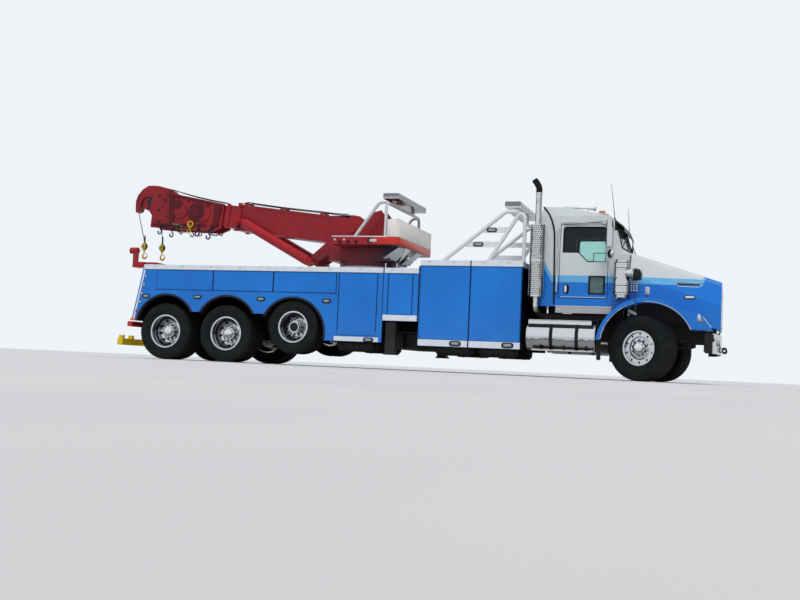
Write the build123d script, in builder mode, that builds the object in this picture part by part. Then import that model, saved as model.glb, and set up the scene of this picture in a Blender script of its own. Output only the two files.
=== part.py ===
from build123d import *
from math import cos, radians, sin
import os

os.makedirs("parts", exist_ok=True)

# Millimetres. X runs forward, Y to the left and Z up from the floor.
# The origin is on the floor, midway between the front hook and the boom's nose.

# Clearances
seat_gap = 0.3
door_gap = 12
lid_gap = 6

# Axles along the truck
front_axle_x = 4755
lift_axle_x = -1750
tandem_x = -3810
tandem_spacing = 1320
lift_raise = 210
steer_angle = -24

# Tyres and rims of the two sizes
drive_tyre_r = 550
drive_tyre_w = 280
drive_bead_r = 311
drive_flange_r = 326
drive_rim_w = 216
lift_tyre_r = 510
lift_tyre_w = 260
lift_bead_r = 286
lift_flange_r = 300
rim_edge = 12
dual_spacing = 336
hub_inboard = 250
front_tyre_r = 562
front_tyre_w = 420
front_bead_r = 286
front_flange_r = 300
front_rim_w = 300
kingpin_y = 850
kingpin_offset = 190
bolt_circle_r = 143
lug_count = 10
lug_r = 17
hub_r = 118
hand_hole_circle_r = 226
hand_hole_r = 27
disc_flat_r = 256

# Chassis
rail_top_z = 1000
rail_height = 300
rail_y = 430
rail_flange = 90
rail_web = 12
frame_rear_x = -4940
frame_front_x = 5660
frame_cross_x = [-4900, -3810, -2460, -1060, 1040, 2440, 3240, 5580]

# Body
half_width = 1290
dual_centre_y = half_width - 335
body_inner_y = 640
deck_z = 1855
deck_plate = 90
body_rear_x = -5215
body_rear_top_x = -4995
body_front_x = 705
arch_r = 670
arch_z = 605
arch_shift = 15
tail_z = 742
fascia_z = 945
skirt_z = 487
step_x = 40
step_z = 889
box_rear_x = 735
box_front_x = 2605
box_top_z = 2010
box_bottom_z = 457
ring_r = 600
ring_top_z = 1960
foot_pad = 12

# Body doors
lid_thick = 30
jamb = 25
lid_top_z = 1748
lid_bottom_z = 1370
box_lid_top_z = 1900
box_lid_bottom_z = 578

# Cab
cab_rear_x = 2840
cowl_x = 4404
cab_floor_z = 1250
cab_half = 1010
cab_wall = 45
glass_inset = 18
glass_thick = 6
cab_door_rear_x = 3195
cab_door_front_x = 4050
cab_door_bottom_z = 1395
cab_door_top_z = 2705

# Hood and front
hood_front_x = 5940
hood_gap = 16
hood_wall = 12
front_arch_r = 785
fender_band = 77
fender_y = 1245
fender_split_x = 4544
hinge_x = 5890
hinge_z = 900
bumper_front_x = 5950
bumper_low_z = 515
bumper_top_z = 850
hook_reach = 100
hook_reach_x = bumper_front_x + hook_reach

# Turret and boom
slew_x = -710
pivot_x = -1010
pivot_z = 2700
boom_angle = 6.8
turret_tail_x = 215
turret_half = 1080
floor_low_z = 2310
platform_z = 2455
tail_top_z = 2790
cylinder_y = 400
lower_pin_x = -1840
lower_pin_z = 2040
upper_pin_x = -3450
upper_pin_z = 2890


def block(x0, x1, y0, y1, z0, z1, mode=Mode.ADD):
    """A box between two corners."""
    with Locations(((x0 + x1) / 2, (y0 + y1) / 2, (z0 + z1) / 2)):
        Box(abs(x1 - x0), abs(y1 - y0), abs(z1 - z0), mode=mode)


def prism(plane, outline, near, far, mode=Mode.ADD):
    """A straight-sided outline on a plane, pushed from near to far along its normal."""
    with BuildSketch(plane.offset(near)) as face:
        with BuildLine():
            Polyline(*outline, close=True)
        make_face()
    extrude(face.sketch, amount=far - near, mode=mode)


def bar(start, end, radius, mode=Mode.ADD):
    """A round bar from one point to another."""
    a, b = Vector(*start), Vector(*end)
    with BuildSketch(Plane(origin=a, z_dir=b - a)) as face:
        Circle(radius)
    extrude(face.sketch, amount=(b - a).length, mode=mode)


def tube(points, bend, radius):
    """A bent tube through points, each bend with the same radius."""
    with BuildLine() as route:
        FilletPolyline(*points, radius=bend)
    with BuildSketch(Plane(origin=route.line @ 0, z_dir=route.line % 0)) as face:
        Circle(radius)
    sweep(face.sketch, path=route.line)


def spin(plane, outline, axis, mode=Mode.ADD):
    """A straight-sided outline turned round an axis."""
    with BuildSketch(plane) as face:
        with BuildLine():
            Polyline(*outline, close=True)
        make_face()
    revolve(face.sketch, axis=axis, mode=mode)


# Side views look along Y: their planes have X across and Z up, with the normal towards +Y
side_view = Plane(origin=(0, 0, 0), x_dir=(-1, 0, 0), z_dir=(0, 1, 0))


def side(points):
    """Points (x, z) of a side view, in the side plane's own axes."""
    return [(-x, z) for x, z in points]


# Wheels

def wheel_frame(x, y, z, hand, turn):
    """The plane through a wheel's axle, with its own X pointing outboard, and that axle."""
    out = Vector(-hand * sin(radians(turn)), hand * cos(radians(turn)), 0)
    centre = Vector(x, y, z)
    plane = Plane(origin=centre, x_dir=out, z_dir=out.cross(Vector(0, 0, 1)))
    return plane, Axis(centre, out), out


def tyre_ring(plane, axis, middle, radius, width, bead_r, flange_r, rim_w):
    """One tyre: beads inside the rim's flanges, bulging walls, shoulders and a flat crown."""
    wall = width / 2
    bead = rim_w / 2 - rim_edge - seat_gap
    bead_top = flange_r + 2
    tread = width * 0.40
    belly = (bead_r + radius) / 2
    shoulder = radius - (radius - bead_r) * 0.16
    inner_r = bead_r + seat_gap
    with BuildSketch(plane) as face:
        with BuildLine():
            Line((middle - bead, inner_r), (middle + bead, inner_r))
            Line((middle + bead, inner_r), (middle + bead, bead_top))
            ThreePointArc((middle + bead, bead_top), (middle + wall, belly), (middle + wall * 0.94, shoulder))
            Line((middle + wall * 0.94, shoulder), (middle + tread, radius))
            Line((middle + tread, radius), (middle - tread, radius))
            Line((middle - tread, radius), (middle - wall * 0.94, shoulder))
            ThreePointArc((middle - wall * 0.94, shoulder), (middle - wall, belly), (middle - bead, bead_top))
            Line((middle - bead, bead_top), (middle - bead, inner_r))
        make_face()
    revolve(face.sketch, axis=axis)


def rim_barrel(plane, axis, inboard, outboard, bead_r, flange_r):
    """The rim under one tyre, with a flange at each edge."""
    spin(plane, [
        (inboard, flange_r), (inboard + rim_edge, bead_r), (outboard - rim_edge, bead_r),
        (outboard, flange_r),
        (outboard, bead_r - rim_edge), (inboard, bead_r - rim_edge),
    ], axis)


tandem_half = tandem_spacing / 2
# name, x, raised by, tyre radius, tyre width, bead radius, flange radius
wheel_sets = [
    ("lift", lift_axle_x, lift_raise, lift_tyre_r, lift_tyre_w, lift_bead_r, lift_flange_r),
    ("drive_front", tandem_x + tandem_half, 0, drive_tyre_r, drive_tyre_w, drive_bead_r, drive_flange_r),
    ("drive_rear", tandem_x - tandem_half, 0, drive_tyre_r, drive_tyre_w, drive_bead_r, drive_flange_r),
]
sides = [("right", -1), ("left", 1)]

for set_name, set_x, raised, tyre_r, tyre_w, bead_r, flange_r in wheel_sets:
    for side_name, hand in sides:
        plane, axis, out = wheel_frame(set_x, hand * dual_centre_y, tyre_r + raised, hand, 0)
        half_dual = dual_spacing / 2

        with BuildPart() as tyre:
            for middle in (-half_dual, half_dual):
                tyre_ring(plane, axis, middle, tyre_r, tyre_w, bead_r, flange_r, drive_rim_w)
        tyre.part.label = f"tyre_{set_name}_{side_name}"
        export_step(tyre.part, f"parts/{tyre.part.label}.step")

        with BuildPart() as rim:
            disc = 14
            hub_out = 175 if raised else 150
            hub_in = -hub_inboard
            rim_end = half_dual + drive_rim_w / 2
            rim_start = half_dual - drive_rim_w / 2
            for way in (-1, 1):
                low, high = sorted((way * rim_start, way * rim_end))
                rim_barrel(plane, axis, low, high, bead_r, flange_r)
                spin(plane, [
                    (0, hub_r - 20), (way * disc, hub_r - 20), (way * disc, disc_flat_r),
                    (way * (rim_start + 34), bead_r - 11), (way * (rim_start + 8), bead_r - 11),
                    (0, disc_flat_r + 6),
                ], axis)
            bar(plane.origin + out * hub_in, plane.origin + out * hub_out, hub_r)
            bar(plane.origin + out * hub_out, plane.origin + out * (hub_out + 40), hub_r * 0.72)
            with BuildSketch(Plane(origin=plane.origin + out * disc, z_dir=out)) as lugs:
                with PolarLocations(bolt_circle_r, lug_count):
                    RegularPolygon(lug_r, 6)
            extrude(lugs.sketch, amount=52)
            with BuildSketch(Plane(origin=plane.origin, z_dir=out)) as holes:
                with PolarLocations(hand_hole_circle_r, lug_count):
                    Circle(hand_hole_r)
            extrude(holes.sketch, amount=60, mode=Mode.SUBTRACT)
            spin(plane, [(hub_in, hub_r - 10), (hub_in, 215), (-80, 215), (-14, 180), (-14, hub_r - 10)],
                 axis)
        rim.part.label = f"rim_{set_name}_{side_name}"
        export_step(rim.part, f"parts/{rim.part.label}.step")

# Front wheels, knuckles and the tie rod, with the wheels turned to the right as parked
arm_length = 170
turn = radians(steer_angle)
for side_name, hand in sides:
    pin = Vector(front_axle_x, hand * kingpin_y, front_tyre_r)
    plane, axis, out = wheel_frame(pin.X, pin.Y, pin.Z, hand, steer_angle)
    middle = kingpin_offset

    with BuildPart() as tyre:
        tyre_ring(plane, axis, middle, front_tyre_r, front_tyre_w, front_bead_r, front_flange_r, front_rim_w)
    tyre.part.label = f"tyre_front_{side_name}"
    export_step(tyre.part, f"parts/{tyre.part.label}.step")

    with BuildPart() as rim:
        face_at = middle + 70
        rim_barrel(plane, axis, middle - front_rim_w / 2, middle + front_rim_w / 2, front_bead_r,
                   front_flange_r)
        spin(plane, [
            (face_at, hub_r - 20), (face_at + 14, hub_r - 20), (face_at + 14, 180), (face_at + 34, 200),
            (face_at + 34, front_bead_r - 11), (face_at + 20, front_bead_r - 11), (face_at + 20, 206),
            (face_at, 190),
        ], axis)
        bar(pin + out * (middle - 60), pin + out * (face_at + 60), hub_r)
        bar(pin + out * (face_at + 60), pin + out * (face_at + 110), hub_r * 0.8)
        with BuildSketch(Plane(origin=pin + out * (face_at + 10), z_dir=out)) as lugs:
            with PolarLocations(bolt_circle_r, lug_count):
                RegularPolygon(lug_r, 6)
        extrude(lugs.sketch, amount=46)
        with BuildSketch(Plane(origin=pin + out * (face_at - 10), z_dir=out)) as holes:
            with PolarLocations(242, lug_count, 18):
                Circle(18)
        extrude(holes.sketch, amount=60, mode=Mode.SUBTRACT)
        spin(plane, [
            (middle - 100, 150), (middle - 100, 215), (middle + 20, 215), (middle + 40, hub_r - 10),
            (middle - 60, hub_r - 10), (middle - 60, 150),
        ], axis)
    rim.part.label = f"rim_front_{side_name}"
    export_step(rim.part, f"parts/{rim.part.label}.step")

    with BuildPart() as knuckle:
        bar(pin - Vector(0, 0, 130), pin + Vector(0, 0, 130), 42)
        bar(pin, pin + out * (middle - 60 - seat_gap), 60)
        rear = Vector(-cos(turn), -sin(turn), 0)
        arm = pin + Vector(0, 0, -100)
        bar(arm, arm + rear * arm_length, 24)
        bar(arm + rear * arm_length - Vector(0, 0, 30), arm + rear * arm_length + Vector(0, 0, 30), 26)
    knuckle.part.label = f"knuckle_{side_name}"
    export_step(knuckle.part, f"parts/{knuckle.part.label}.step")

with BuildPart() as tie_rod:
    rod_x = front_axle_x - arm_length * cos(turn)
    rod_dy = -arm_length * sin(turn)
    rod_z = front_tyre_r - 100 - 30 - 26 - seat_gap
    bar((rod_x, rod_dy - kingpin_y, rod_z), (rod_x, rod_dy + kingpin_y, rod_z), 20)
    for hand in (-1, 1):
        with Locations((rod_x, rod_dy + hand * kingpin_y, rod_z)):
            Cylinder(28, 52)
tie_rod.part.label = "tie_rod"
export_step(tie_rod.part, "parts/tie_rod.step")

# Frame: two channel rails, cross members, cab mounts, outrigger housings and hinge ears
rail_bottom_z = rail_top_z - rail_height
# side, direction, place along the truck
outrigger_tubes = [("right", -1, 205), ("left", 1, 515)]
outrigger_tube_w = 290
outrigger_tube_h = 310
outrigger_wall = 14
outrigger_end_y = 1105
lift_pin_x, lift_pin_z, lift_pin_r = -5040, 640, 35
lift_ear_y, lift_ear_thick = 190, 30
spring_reach = 700
spring_top_z = 640
tow_bracket_y = 374

with BuildPart() as frame:
    for hand in (-1, 1):
        channel = [
            (hand * rail_y, rail_bottom_z), (hand * rail_y, rail_top_z),
            (hand * (rail_y - rail_flange), rail_top_z),
            (hand * (rail_y - rail_flange), rail_top_z - rail_web),
            (hand * (rail_y - rail_web), rail_top_z - rail_web),
            (hand * (rail_y - rail_web), rail_bottom_z + rail_web),
            (hand * (rail_y - rail_flange), rail_bottom_z + rail_web),
            (hand * (rail_y - rail_flange), rail_bottom_z),
        ]
        prism(Plane.YZ, channel, frame_rear_x, frame_front_x)
    for cross_x in frame_cross_x:
        block(cross_x - 40, cross_x + 40, -rail_y + rail_web, rail_y - rail_web, 920, rail_top_z - rail_web)
    for mount_x in (cab_rear_x + 150, cowl_x - 190):
        for hand in (-1, 1):
            block(mount_x - 60, mount_x + 60, hand * (rail_y - 100), hand * rail_y, rail_top_z,
                  cab_floor_z - seat_gap)
    for tube_name, hand, tube_x in outrigger_tubes:
        half = outrigger_tube_w / 2
        low = rail_bottom_z - outrigger_tube_h
        block(tube_x - half, tube_x + half, -outrigger_end_y, outrigger_end_y, low, rail_bottom_z)
        block(tube_x - half + outrigger_wall, tube_x + half - outrigger_wall, -half_width, half_width,
              low + outrigger_wall, rail_bottom_z - outrigger_wall, mode=Mode.SUBTRACT)
    for hand in (-1, 1):
        # Ears for the hood's hinge, and hangers for the front springs
        block(frame_front_x - 120, hinge_x + 25, hand * (rail_y - rail_web), hand * rail_y, hinge_z - 35,
              hinge_z + 35)
        for spring_x in (front_axle_x - spring_reach, front_axle_x + spring_reach):
            block(spring_x - 45, spring_x + 45, hand * (rail_y - 80), hand * rail_y, spring_top_z + seat_gap,
                  rail_bottom_z + 20)
        # Cheeks for the underlift's pin
        block(lift_pin_x - 60, frame_rear_x + 40, hand * lift_ear_y, hand * (lift_ear_y + lift_ear_thick),
              590,
              rail_top_z - rail_web)
        block(frame_rear_x - 20, frame_rear_x, hand * lift_ear_y, hand * rail_y, rail_bottom_z,
              rail_top_z - rail_web)
    bar((lift_pin_x, -260, lift_pin_z), (lift_pin_x, 260, lift_pin_z), lift_pin_r + seat_gap,
        mode=Mode.SUBTRACT)
frame.part.label = "frame"
export_step(frame.part, "parts/frame.step")

# Outrigger beams, each with its jack at the outer end
beam_play = 10
for tube_name, hand, tube_x in outrigger_tubes:
    with BuildPart() as outrigger:
        half = outrigger_tube_w / 2 - outrigger_wall - beam_play
        low = rail_bottom_z - outrigger_tube_h + outrigger_wall + seat_gap
        high = rail_bottom_z - outrigger_wall - beam_play
        block(tube_x - half, tube_x + half, -hand * 900, hand * (outrigger_end_y + 20), low, high)
        block(tube_x - 95, tube_x + 95, hand * (outrigger_end_y + 15), hand * (half_width - 10), 300,
              step_z - 25)
        block(tube_x - 120, tube_x + 120, hand * (outrigger_end_y + 5), hand * (half_width - 5), 270, 300)
    outrigger.part.label = f"outrigger_{tube_name}"
    export_step(outrigger.part, f"parts/{outrigger.part.label}.step")

# Front axle: dropped beam with eyes for the king pins, and two leaf springs
with BuildPart() as front_axle:
    leaf_thick = 16
    prism(Plane.YZ, [
        (-760, 610), (-700, 610), (-560, 540), (560, 540), (700, 610), (760, 610),
        (760, 510), (690, 500), (540, 430), (-540, 430), (-690, 500), (-760, 510),
    ], front_axle_x - 55, front_axle_x + 55)
    for hand in (-1, 1):
        block(front_axle_x - 55, front_axle_x + 55, hand * 750, hand * (kingpin_y - 42 - seat_gap), 515, 605)
        for leaf, reach in enumerate((spring_reach, spring_reach - 140, spring_reach - 280)):
            top = spring_top_z - leaf * leaf_thick
            block(front_axle_x - reach, front_axle_x + reach, hand * 350, hand * 430, top - leaf_thick, top)
        block(front_axle_x - 60, front_axle_x + 60, hand * 350, hand * 430, 530,
              spring_top_z - 3 * leaf_thick)
front_axle.part.label = "front_axle"
export_step(front_axle.part, "parts/front_axle.step")

# Rear axles: two driven housings, the lifted beam, their links and air springs
axle_end_y = dual_centre_y - hub_inboard - seat_gap
with BuildPart() as rear_axles:
    hang_z = rail_bottom_z - seat_gap
    for drive_x in (tandem_x - tandem_half, tandem_x + tandem_half):
        bar((drive_x, -axle_end_y, drive_tyre_r), (drive_x, axle_end_y, drive_tyre_r), 72)
        with Locations((drive_x, 0, drive_tyre_r)):
            Sphere(190)
        for hand in (-1, 1):
            block(drive_x - 260, drive_x + 260, hand * 370, hand * 450, 590, 640)
            bar((drive_x - 170, hand * 410, 640), (drive_x - 170, hand * 410, hang_z), 70)
            block(drive_x + 200, drive_x + 260, hand * 380, hand * 420, 640, hang_z)
    lift_z = lift_tyre_r + lift_raise
    # The lifted beam drops between its ends, at a set distance inside the wheels
    crank_y = dual_centre_y - 355
    prism(Plane.YZ, [
        (-axle_end_y, lift_z + 50), (-crank_y, lift_z + 50), (120 - crank_y, lift_z - 130),
        (crank_y - 120, lift_z - 130), (crank_y, lift_z + 50), (axle_end_y, lift_z + 50),
        (axle_end_y, lift_z - 50), (crank_y + 40, lift_z - 60), (crank_y - 80, lift_z - 230),
        (80 - crank_y, lift_z - 230), (-crank_y - 40, lift_z - 60), (-axle_end_y, lift_z - 50),
    ], lift_axle_x - 60, lift_axle_x + 60)
    for hand in (-1, 1):
        block(lift_axle_x, lift_axle_x + 520, hand * 380, hand * 430, lift_z - 200, lift_z - 130)
        block(lift_axle_x + 460, lift_axle_x + 520, hand * 380, hand * 430, lift_z - 200, hang_z)
rear_axles.part.label = "rear_axles"
export_step(rear_axles.part, "parts/rear_axles.step")

# Engine, radiator, gearbox and shaft as plain masses
with BuildPart() as engine:
    engine_rear_x = cowl_x + 90
    block(engine_rear_x, engine_rear_x + 900, -330, 330, 760, 1700)
    block(hood_front_x - 340, hood_front_x - 250, -rail_y, rail_y, rail_top_z + 10, 1600)
    block(engine_rear_x + 890, hood_front_x - 330, -300, 300, rail_top_z + 10, 1500)
    block(engine_rear_x - 1150, engine_rear_x + 10, -250, 250, 720, 1120)
    bar((engine_rear_x - 1140, 0, 870), (tandem_x + tandem_half + 183, 0, drive_tyre_r + 90), 42)
    mount_half = rail_y - rail_web - seat_gap
    block(engine_rear_x + 380, engine_rear_x + 460, -mount_half, mount_half, 800, 900)
engine.part.label = "engine"
export_step(engine.part, "parts/engine.step")

# Fuel tanks with straps, brackets and step strips
with BuildPart() as fuel_tanks:
    tank_rear_x, tank_front_x, tank_r, tank_z = 2700, 3890, 245, 710
    tank_y = half_width - 20 - tank_r
    for hand in (-1, 1):
        bar((tank_rear_x, hand * tank_y, tank_z), (tank_front_x, hand * tank_y, tank_z), tank_r)
        block(tank_rear_x + 15, tank_front_x - 75, hand * (tank_y - 130), hand * (tank_y + 130),
              tank_z + tank_r - 30, tank_z + tank_r + 30)
        block(tank_rear_x + 80, tank_front_x - 20, hand * (tank_y + 20), hand * (tank_y + 110),
              tank_z - tank_r - 10, tank_z - tank_r + 30)
        for strap_x in (tank_rear_x + 432, tank_rear_x + 876):
            bar((strap_x - 25, hand * tank_y, tank_z), (strap_x + 25, hand * tank_y, tank_z), tank_r + 6)
            block(strap_x - 25, strap_x + 25, hand * (rail_y + seat_gap), hand * tank_y, tank_z - 60,
                  tank_z + 100)
fuel_tanks.part.label = "fuel_tanks"
export_step(fuel_tanks.part, "parts/fuel_tanks.step")

# Bumper with swept-back ends and tow hooks
with BuildPart() as bumper:
    sweep_start, sweep_back, sweep_return, sheet = 500, 130, 120, 10
    end_x = bumper_front_x - sweep_back
    plan = [
        (bumper_front_x, -sweep_start), (bumper_front_x, sweep_start), (end_x, fender_y),
        (end_x - sweep_return, fender_y), (end_x - sweep_return, fender_y - sheet),
        (end_x - sheet, fender_y - sheet),
        (bumper_front_x - sheet, sweep_start), (bumper_front_x - sheet, -sweep_start),
        (end_x - sheet, sheet - fender_y), (end_x - sweep_return, sheet - fender_y),
        (end_x - sweep_return, -fender_y), (end_x, -fender_y),
    ]
    prism(Plane.XY, plan, bumper_low_z, bumper_top_z)
    for hand in (-1, 1):
        hook_y = hand * tow_bracket_y
        block(frame_front_x, bumper_front_x - sheet, hook_y - 44, hook_y + 44, 560, 650)
        block(frame_front_x + seat_gap, frame_front_x + 30, hook_y - 44, hook_y + 44, 560, rail_top_z - 20)
        block(bumper_front_x, hook_reach_x - 80, hook_y - 18, hook_y + 18, 570, 630)
        with BuildSketch(Plane.XZ.offset(-hook_y - 18)) as ring:
            with Locations((hook_reach_x - 50, 600)):
                Circle(50)
                Circle(24, mode=Mode.SUBTRACT)
        extrude(ring.sketch, amount=36)
bumper.part.label = "bumper"
export_step(bumper.part, "parts/bumper.step")

# Cab: drawn in the middle and at its sides, so that its roof is crowned and its windshield comes to a peak
# x and height of each corner at the sides, then on the middle line
cab_corners = [
    ((cab_rear_x, cab_floor_z), (cab_rear_x, cab_floor_z)),
    ((cab_rear_x, 2950), (cab_rear_x, 2990)),
    ((cab_rear_x + 50, 3035), (cab_rear_x + 50, 3070)),
    ((3300, 3020), (3300, 3080)),
    ((4070, 2850), (4090, 2900)),
    ((4130, 2780), (4200, 2820)),
    ((4262, 2215), (4365, 2280)),
    ((cowl_x, 2180), (cowl_x, 2255)),
    ((cowl_x, cab_floor_z), (cowl_x, cab_floor_z)),
]
cab_front = [
    (-cab_half, cab_floor_z - 60), (cab_half, cab_floor_z - 60), (cab_half, 2180), (945, 2860), (885, 2985),
    (790, 3120), (-790, 3120), (-885, 2985), (-945, 2860), (-cab_half, 2180),
]


def cab_volume(inset):
    """The cab's outer form, or the same form drawn in by an inset."""
    with BuildPart() as volume:
        for y, column in ((-cab_half, 0), (0, 1), (cab_half, 0)):
            with BuildSketch(side_view.offset(y)):
                with BuildLine():
                    Polyline(*side([corner[column] for corner in cab_corners]), close=True)
                make_face()
                if inset:
                    offset(amount=-inset, kind=Kind.INTERSECTION)
        loft(ruled=True)
        with BuildSketch(Plane.YZ.offset(cab_rear_x - 50)) as section:
            with BuildLine():
                Polyline(*cab_front, close=True)
            make_face()
            if inset:
                offset(amount=-inset, kind=Kind.INTERSECTION)
        extrude(section.sketch, amount=cowl_x - cab_rear_x + 200, mode=Mode.INTERSECT)
    return volume.part


cab_outer = cab_volume(0)
cab_inner = cab_volume(cab_wall)
glass_outer = cab_volume(glass_inset)
glass_inner = cab_volume(glass_inset + glass_thick)

door_outline = [
    (cab_door_rear_x, cab_door_bottom_z), (cab_door_front_x, cab_door_bottom_z),
    (cab_door_front_x, cab_door_top_z - 60), (cab_door_front_x - 50, cab_door_top_z),
    (cab_door_rear_x, cab_door_top_z),
]
door_window = [
    (3255, 2660), (3255, 2205), (3530, 2205), (3690, 2045), (4005, 2045), (4005, 2610), (3955, 2660),
]
peep_window = [(3730, 1485), (3990, 1485), (3990, 1785), (3730, 1785)]
windshield_panes = [(60, 850), (-850, -60)]
windshield_low, windshield_high = 2315, 2660
rear_window_half, rear_window_low, rear_window_high = 420, 2250, 2700
sill_rear_x, sill_front_x, sill_low_z = 3157, 4130, 1136
door_hinge_z = (1520, 2380)
door_hinge_r, door_hinge_h = 12, 70
door_hinge_x = cab_door_front_x - 4
door_hinge_y = cab_half + 14

with BuildPart() as cab:
    add(cab_outer)
    add(cab_inner, mode=Mode.SUBTRACT)
    prism(side_view, side(door_outline), -half_width, half_width, mode=Mode.SUBTRACT)
    for near_y, far_y in windshield_panes:
        block(4000, cowl_x + 50, near_y, far_y, windshield_low, windshield_high, mode=Mode.SUBTRACT)
    block(cab_rear_x - 20, cab_rear_x + 100, -rear_window_half, rear_window_half,
          rear_window_low, rear_window_high, mode=Mode.SUBTRACT)
    for near_y, far_y in ((-cab_half - 5, -cab_half + 110), (cab_half - 110, cab_half + 5)):
        block(sill_rear_x, sill_front_x, near_y, far_y, sill_low_z, cab_floor_z)
    # Rear quarters of the front fenders
    for hand in (-1, 1):
        near, far = sorted((hand * (cab_half - 15), hand * fender_y))
        lip_near, lip_far = sorted((hand * (fender_y - hood_wall), hand * fender_y))
        for inner_r, y0, y1 in ((front_arch_r + fender_band - hood_wall, near, far),
                                (front_arch_r, lip_near, lip_far)):
            with BuildSketch(side_view.offset(y0)) as quarter:
                with Locations((-front_axle_x, front_tyre_r)):
                    Circle(front_arch_r + fender_band)
                    Circle(inner_r, mode=Mode.SUBTRACT)
                with Locations((-(fender_split_x - 400), front_tyre_r + 565)):
                    Rectangle(800, 900, mode=Mode.INTERSECT)
            extrude(quarter.sketch, amount=y1 - y0)
        # Door hinges, with the door's own knuckle between two of the cab's
        for z in door_hinge_z:
            for start in (z - 25, z + door_hinge_h + seat_gap):
                bar((door_hinge_x, hand * door_hinge_y, start),
                    (door_hinge_x, hand * door_hinge_y, start + 25 - seat_gap),
                    door_hinge_r)
                block(door_hinge_x, door_hinge_x + 50, hand * (cab_half - 40), hand * (cab_half + 12), start,
                      start + 25 - seat_gap)
    # Visor over the windshield
    prism(side_view, side([(4110, 2790), (4290, 2640), (4298, 2650), (4140, 2810)]), -850, 850)
cab.part.label = "cab"
export_step(cab.part, "parts/cab.step")

with BuildPart() as cab_glass:
    add(glass_outer)
    add(glass_inner, mode=Mode.SUBTRACT)
    with BuildPart(mode=Mode.INTERSECT):
        for near_y, far_y in windshield_panes:
            block(4000, cowl_x + 50, near_y, far_y, windshield_low, windshield_high)
        block(cab_rear_x - 20, cab_rear_x + 100, -rear_window_half, rear_window_half,
              rear_window_low, rear_window_high)
cab_glass.part.label = "cab_glass"
export_step(cab_glass.part, "parts/cab_glass.step")

# Seats, dash, steering wheel and column
inner_floor_z = cab_floor_z + cab_wall + seat_gap
with BuildPart() as cab_interior:
    for seat_y in (-480, 480):
        block(3220, 3700, seat_y - 250, seat_y + 250, inner_floor_z, 1680)
        prism(side_view, side([(3200, 1680), (3330, 1680), (3220, 2340), (3120, 2340)]), seat_y - 240,
              seat_y + 240)
    prism(side_view, side([(4040, 1560), (4350, 1560), (4350, 2120), (4150, 2120)]),
          seat_gap + cab_wall - cab_half, cab_half - cab_wall - seat_gap)
    bar((4140, 480, 1880), (3944, 480, 1978), 30)
    with BuildSketch(Plane(origin=(3960, 480, 1970), z_dir=(-0.894, 0, 0.447))) as steering:
        Circle(230)
        Circle(205, mode=Mode.SUBTRACT)
        Rectangle(420, 26)
    extrude(steering.sketch, amount=24)
cab_interior.part.label = "cab_interior"
export_step(cab_interior.part, "parts/cab_interior.step")

# Cab doors with a mirror each, and their glass
mirror_x, mirror_y, mirror_low_z, mirror_high_z = 4100, 1290, 2270, 2735
for side_name, hand in sides:
    near, far = sorted((hand * 600, hand * half_width))
    with BuildPart() as door:
        add(cab_outer)
        add(cab_inner, mode=Mode.SUBTRACT)
        with BuildPart(mode=Mode.INTERSECT):
            with BuildSketch(side_view.offset(near)) as leaf:
                with BuildLine():
                    Polyline(*side(door_outline), close=True)
                make_face()
                offset(amount=-door_gap, kind=Kind.INTERSECTION)
            extrude(amount=far - near)
        prism(side_view, side(door_window), near, far, mode=Mode.SUBTRACT)
        if hand < 0:
            prism(side_view, side(peep_window), near, far, mode=Mode.SUBTRACT)
        for z in door_hinge_z:
            bar((door_hinge_x, hand * door_hinge_y, z), (door_hinge_x, hand * door_hinge_y, z + door_hinge_h),
                door_hinge_r)
            block(door_hinge_x - 36, door_hinge_x, hand * (cab_half - 40), hand * (cab_half + 12), z,
                  z + door_hinge_h)
        # Mirror head on two arms
        block(mirror_x - 45, mirror_x + 45, hand * (mirror_y - 75), hand * (mirror_y + 75), mirror_low_z,
              mirror_high_z)
        bar((4022, hand * 985, mirror_low_z - 60), (mirror_x, hand * mirror_y, mirror_low_z - 60), 12)
        bar((3975, hand * 945, mirror_high_z - 55), (mirror_x, hand * mirror_y, mirror_high_z - 55), 12)
        bar((mirror_x, hand * mirror_y, mirror_low_z - 75), (mirror_x, hand * mirror_y, mirror_high_z), 14)
    door.part.label = f"door_{side_name}"
    export_step(door.part, f"parts/{door.part.label}.step")

    with BuildPart() as door_glass:
        add(glass_outer)
        add(glass_inner, mode=Mode.SUBTRACT)
        with BuildPart(mode=Mode.INTERSECT):
            prism(side_view, side(door_window), near, far)
            if hand < 0:
                prism(side_view, side(peep_window), near, far)
    door_glass.part.label = f"door_glass_{side_name}"
    export_step(door_glass.part, f"parts/{door_glass.part.label}.step")

# Exhaust stack behind the cab on the right
stack_x, stack_y = 2822, -1150
with BuildPart() as exhaust:
    shield_r, pipe_r, shield_low_z, shield_high_z = 126, 54, 1395, 2675
    bar((stack_x, stack_y, shield_low_z), (stack_x, stack_y, shield_high_z), shield_r)
    bar((stack_x, stack_y, shield_high_z - 10), (stack_x, stack_y, 3250), pipe_r)
    tube([(stack_x, stack_y, 3240), (stack_x, stack_y, 3330), (stack_x - 90, stack_y, 3480)], 60, 48)
    rest_z = rail_top_z + pipe_r + seat_gap
    tube([(stack_x, stack_y, shield_low_z + 10), (stack_x, stack_y, 1180), (stack_x + 40, -900, rest_z),
          (stack_x + 40, -330, rest_z)], 70, pipe_r)
exhaust.part.label = "exhaust"
export_step(exhaust.part, "parts/exhaust.step")

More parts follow.
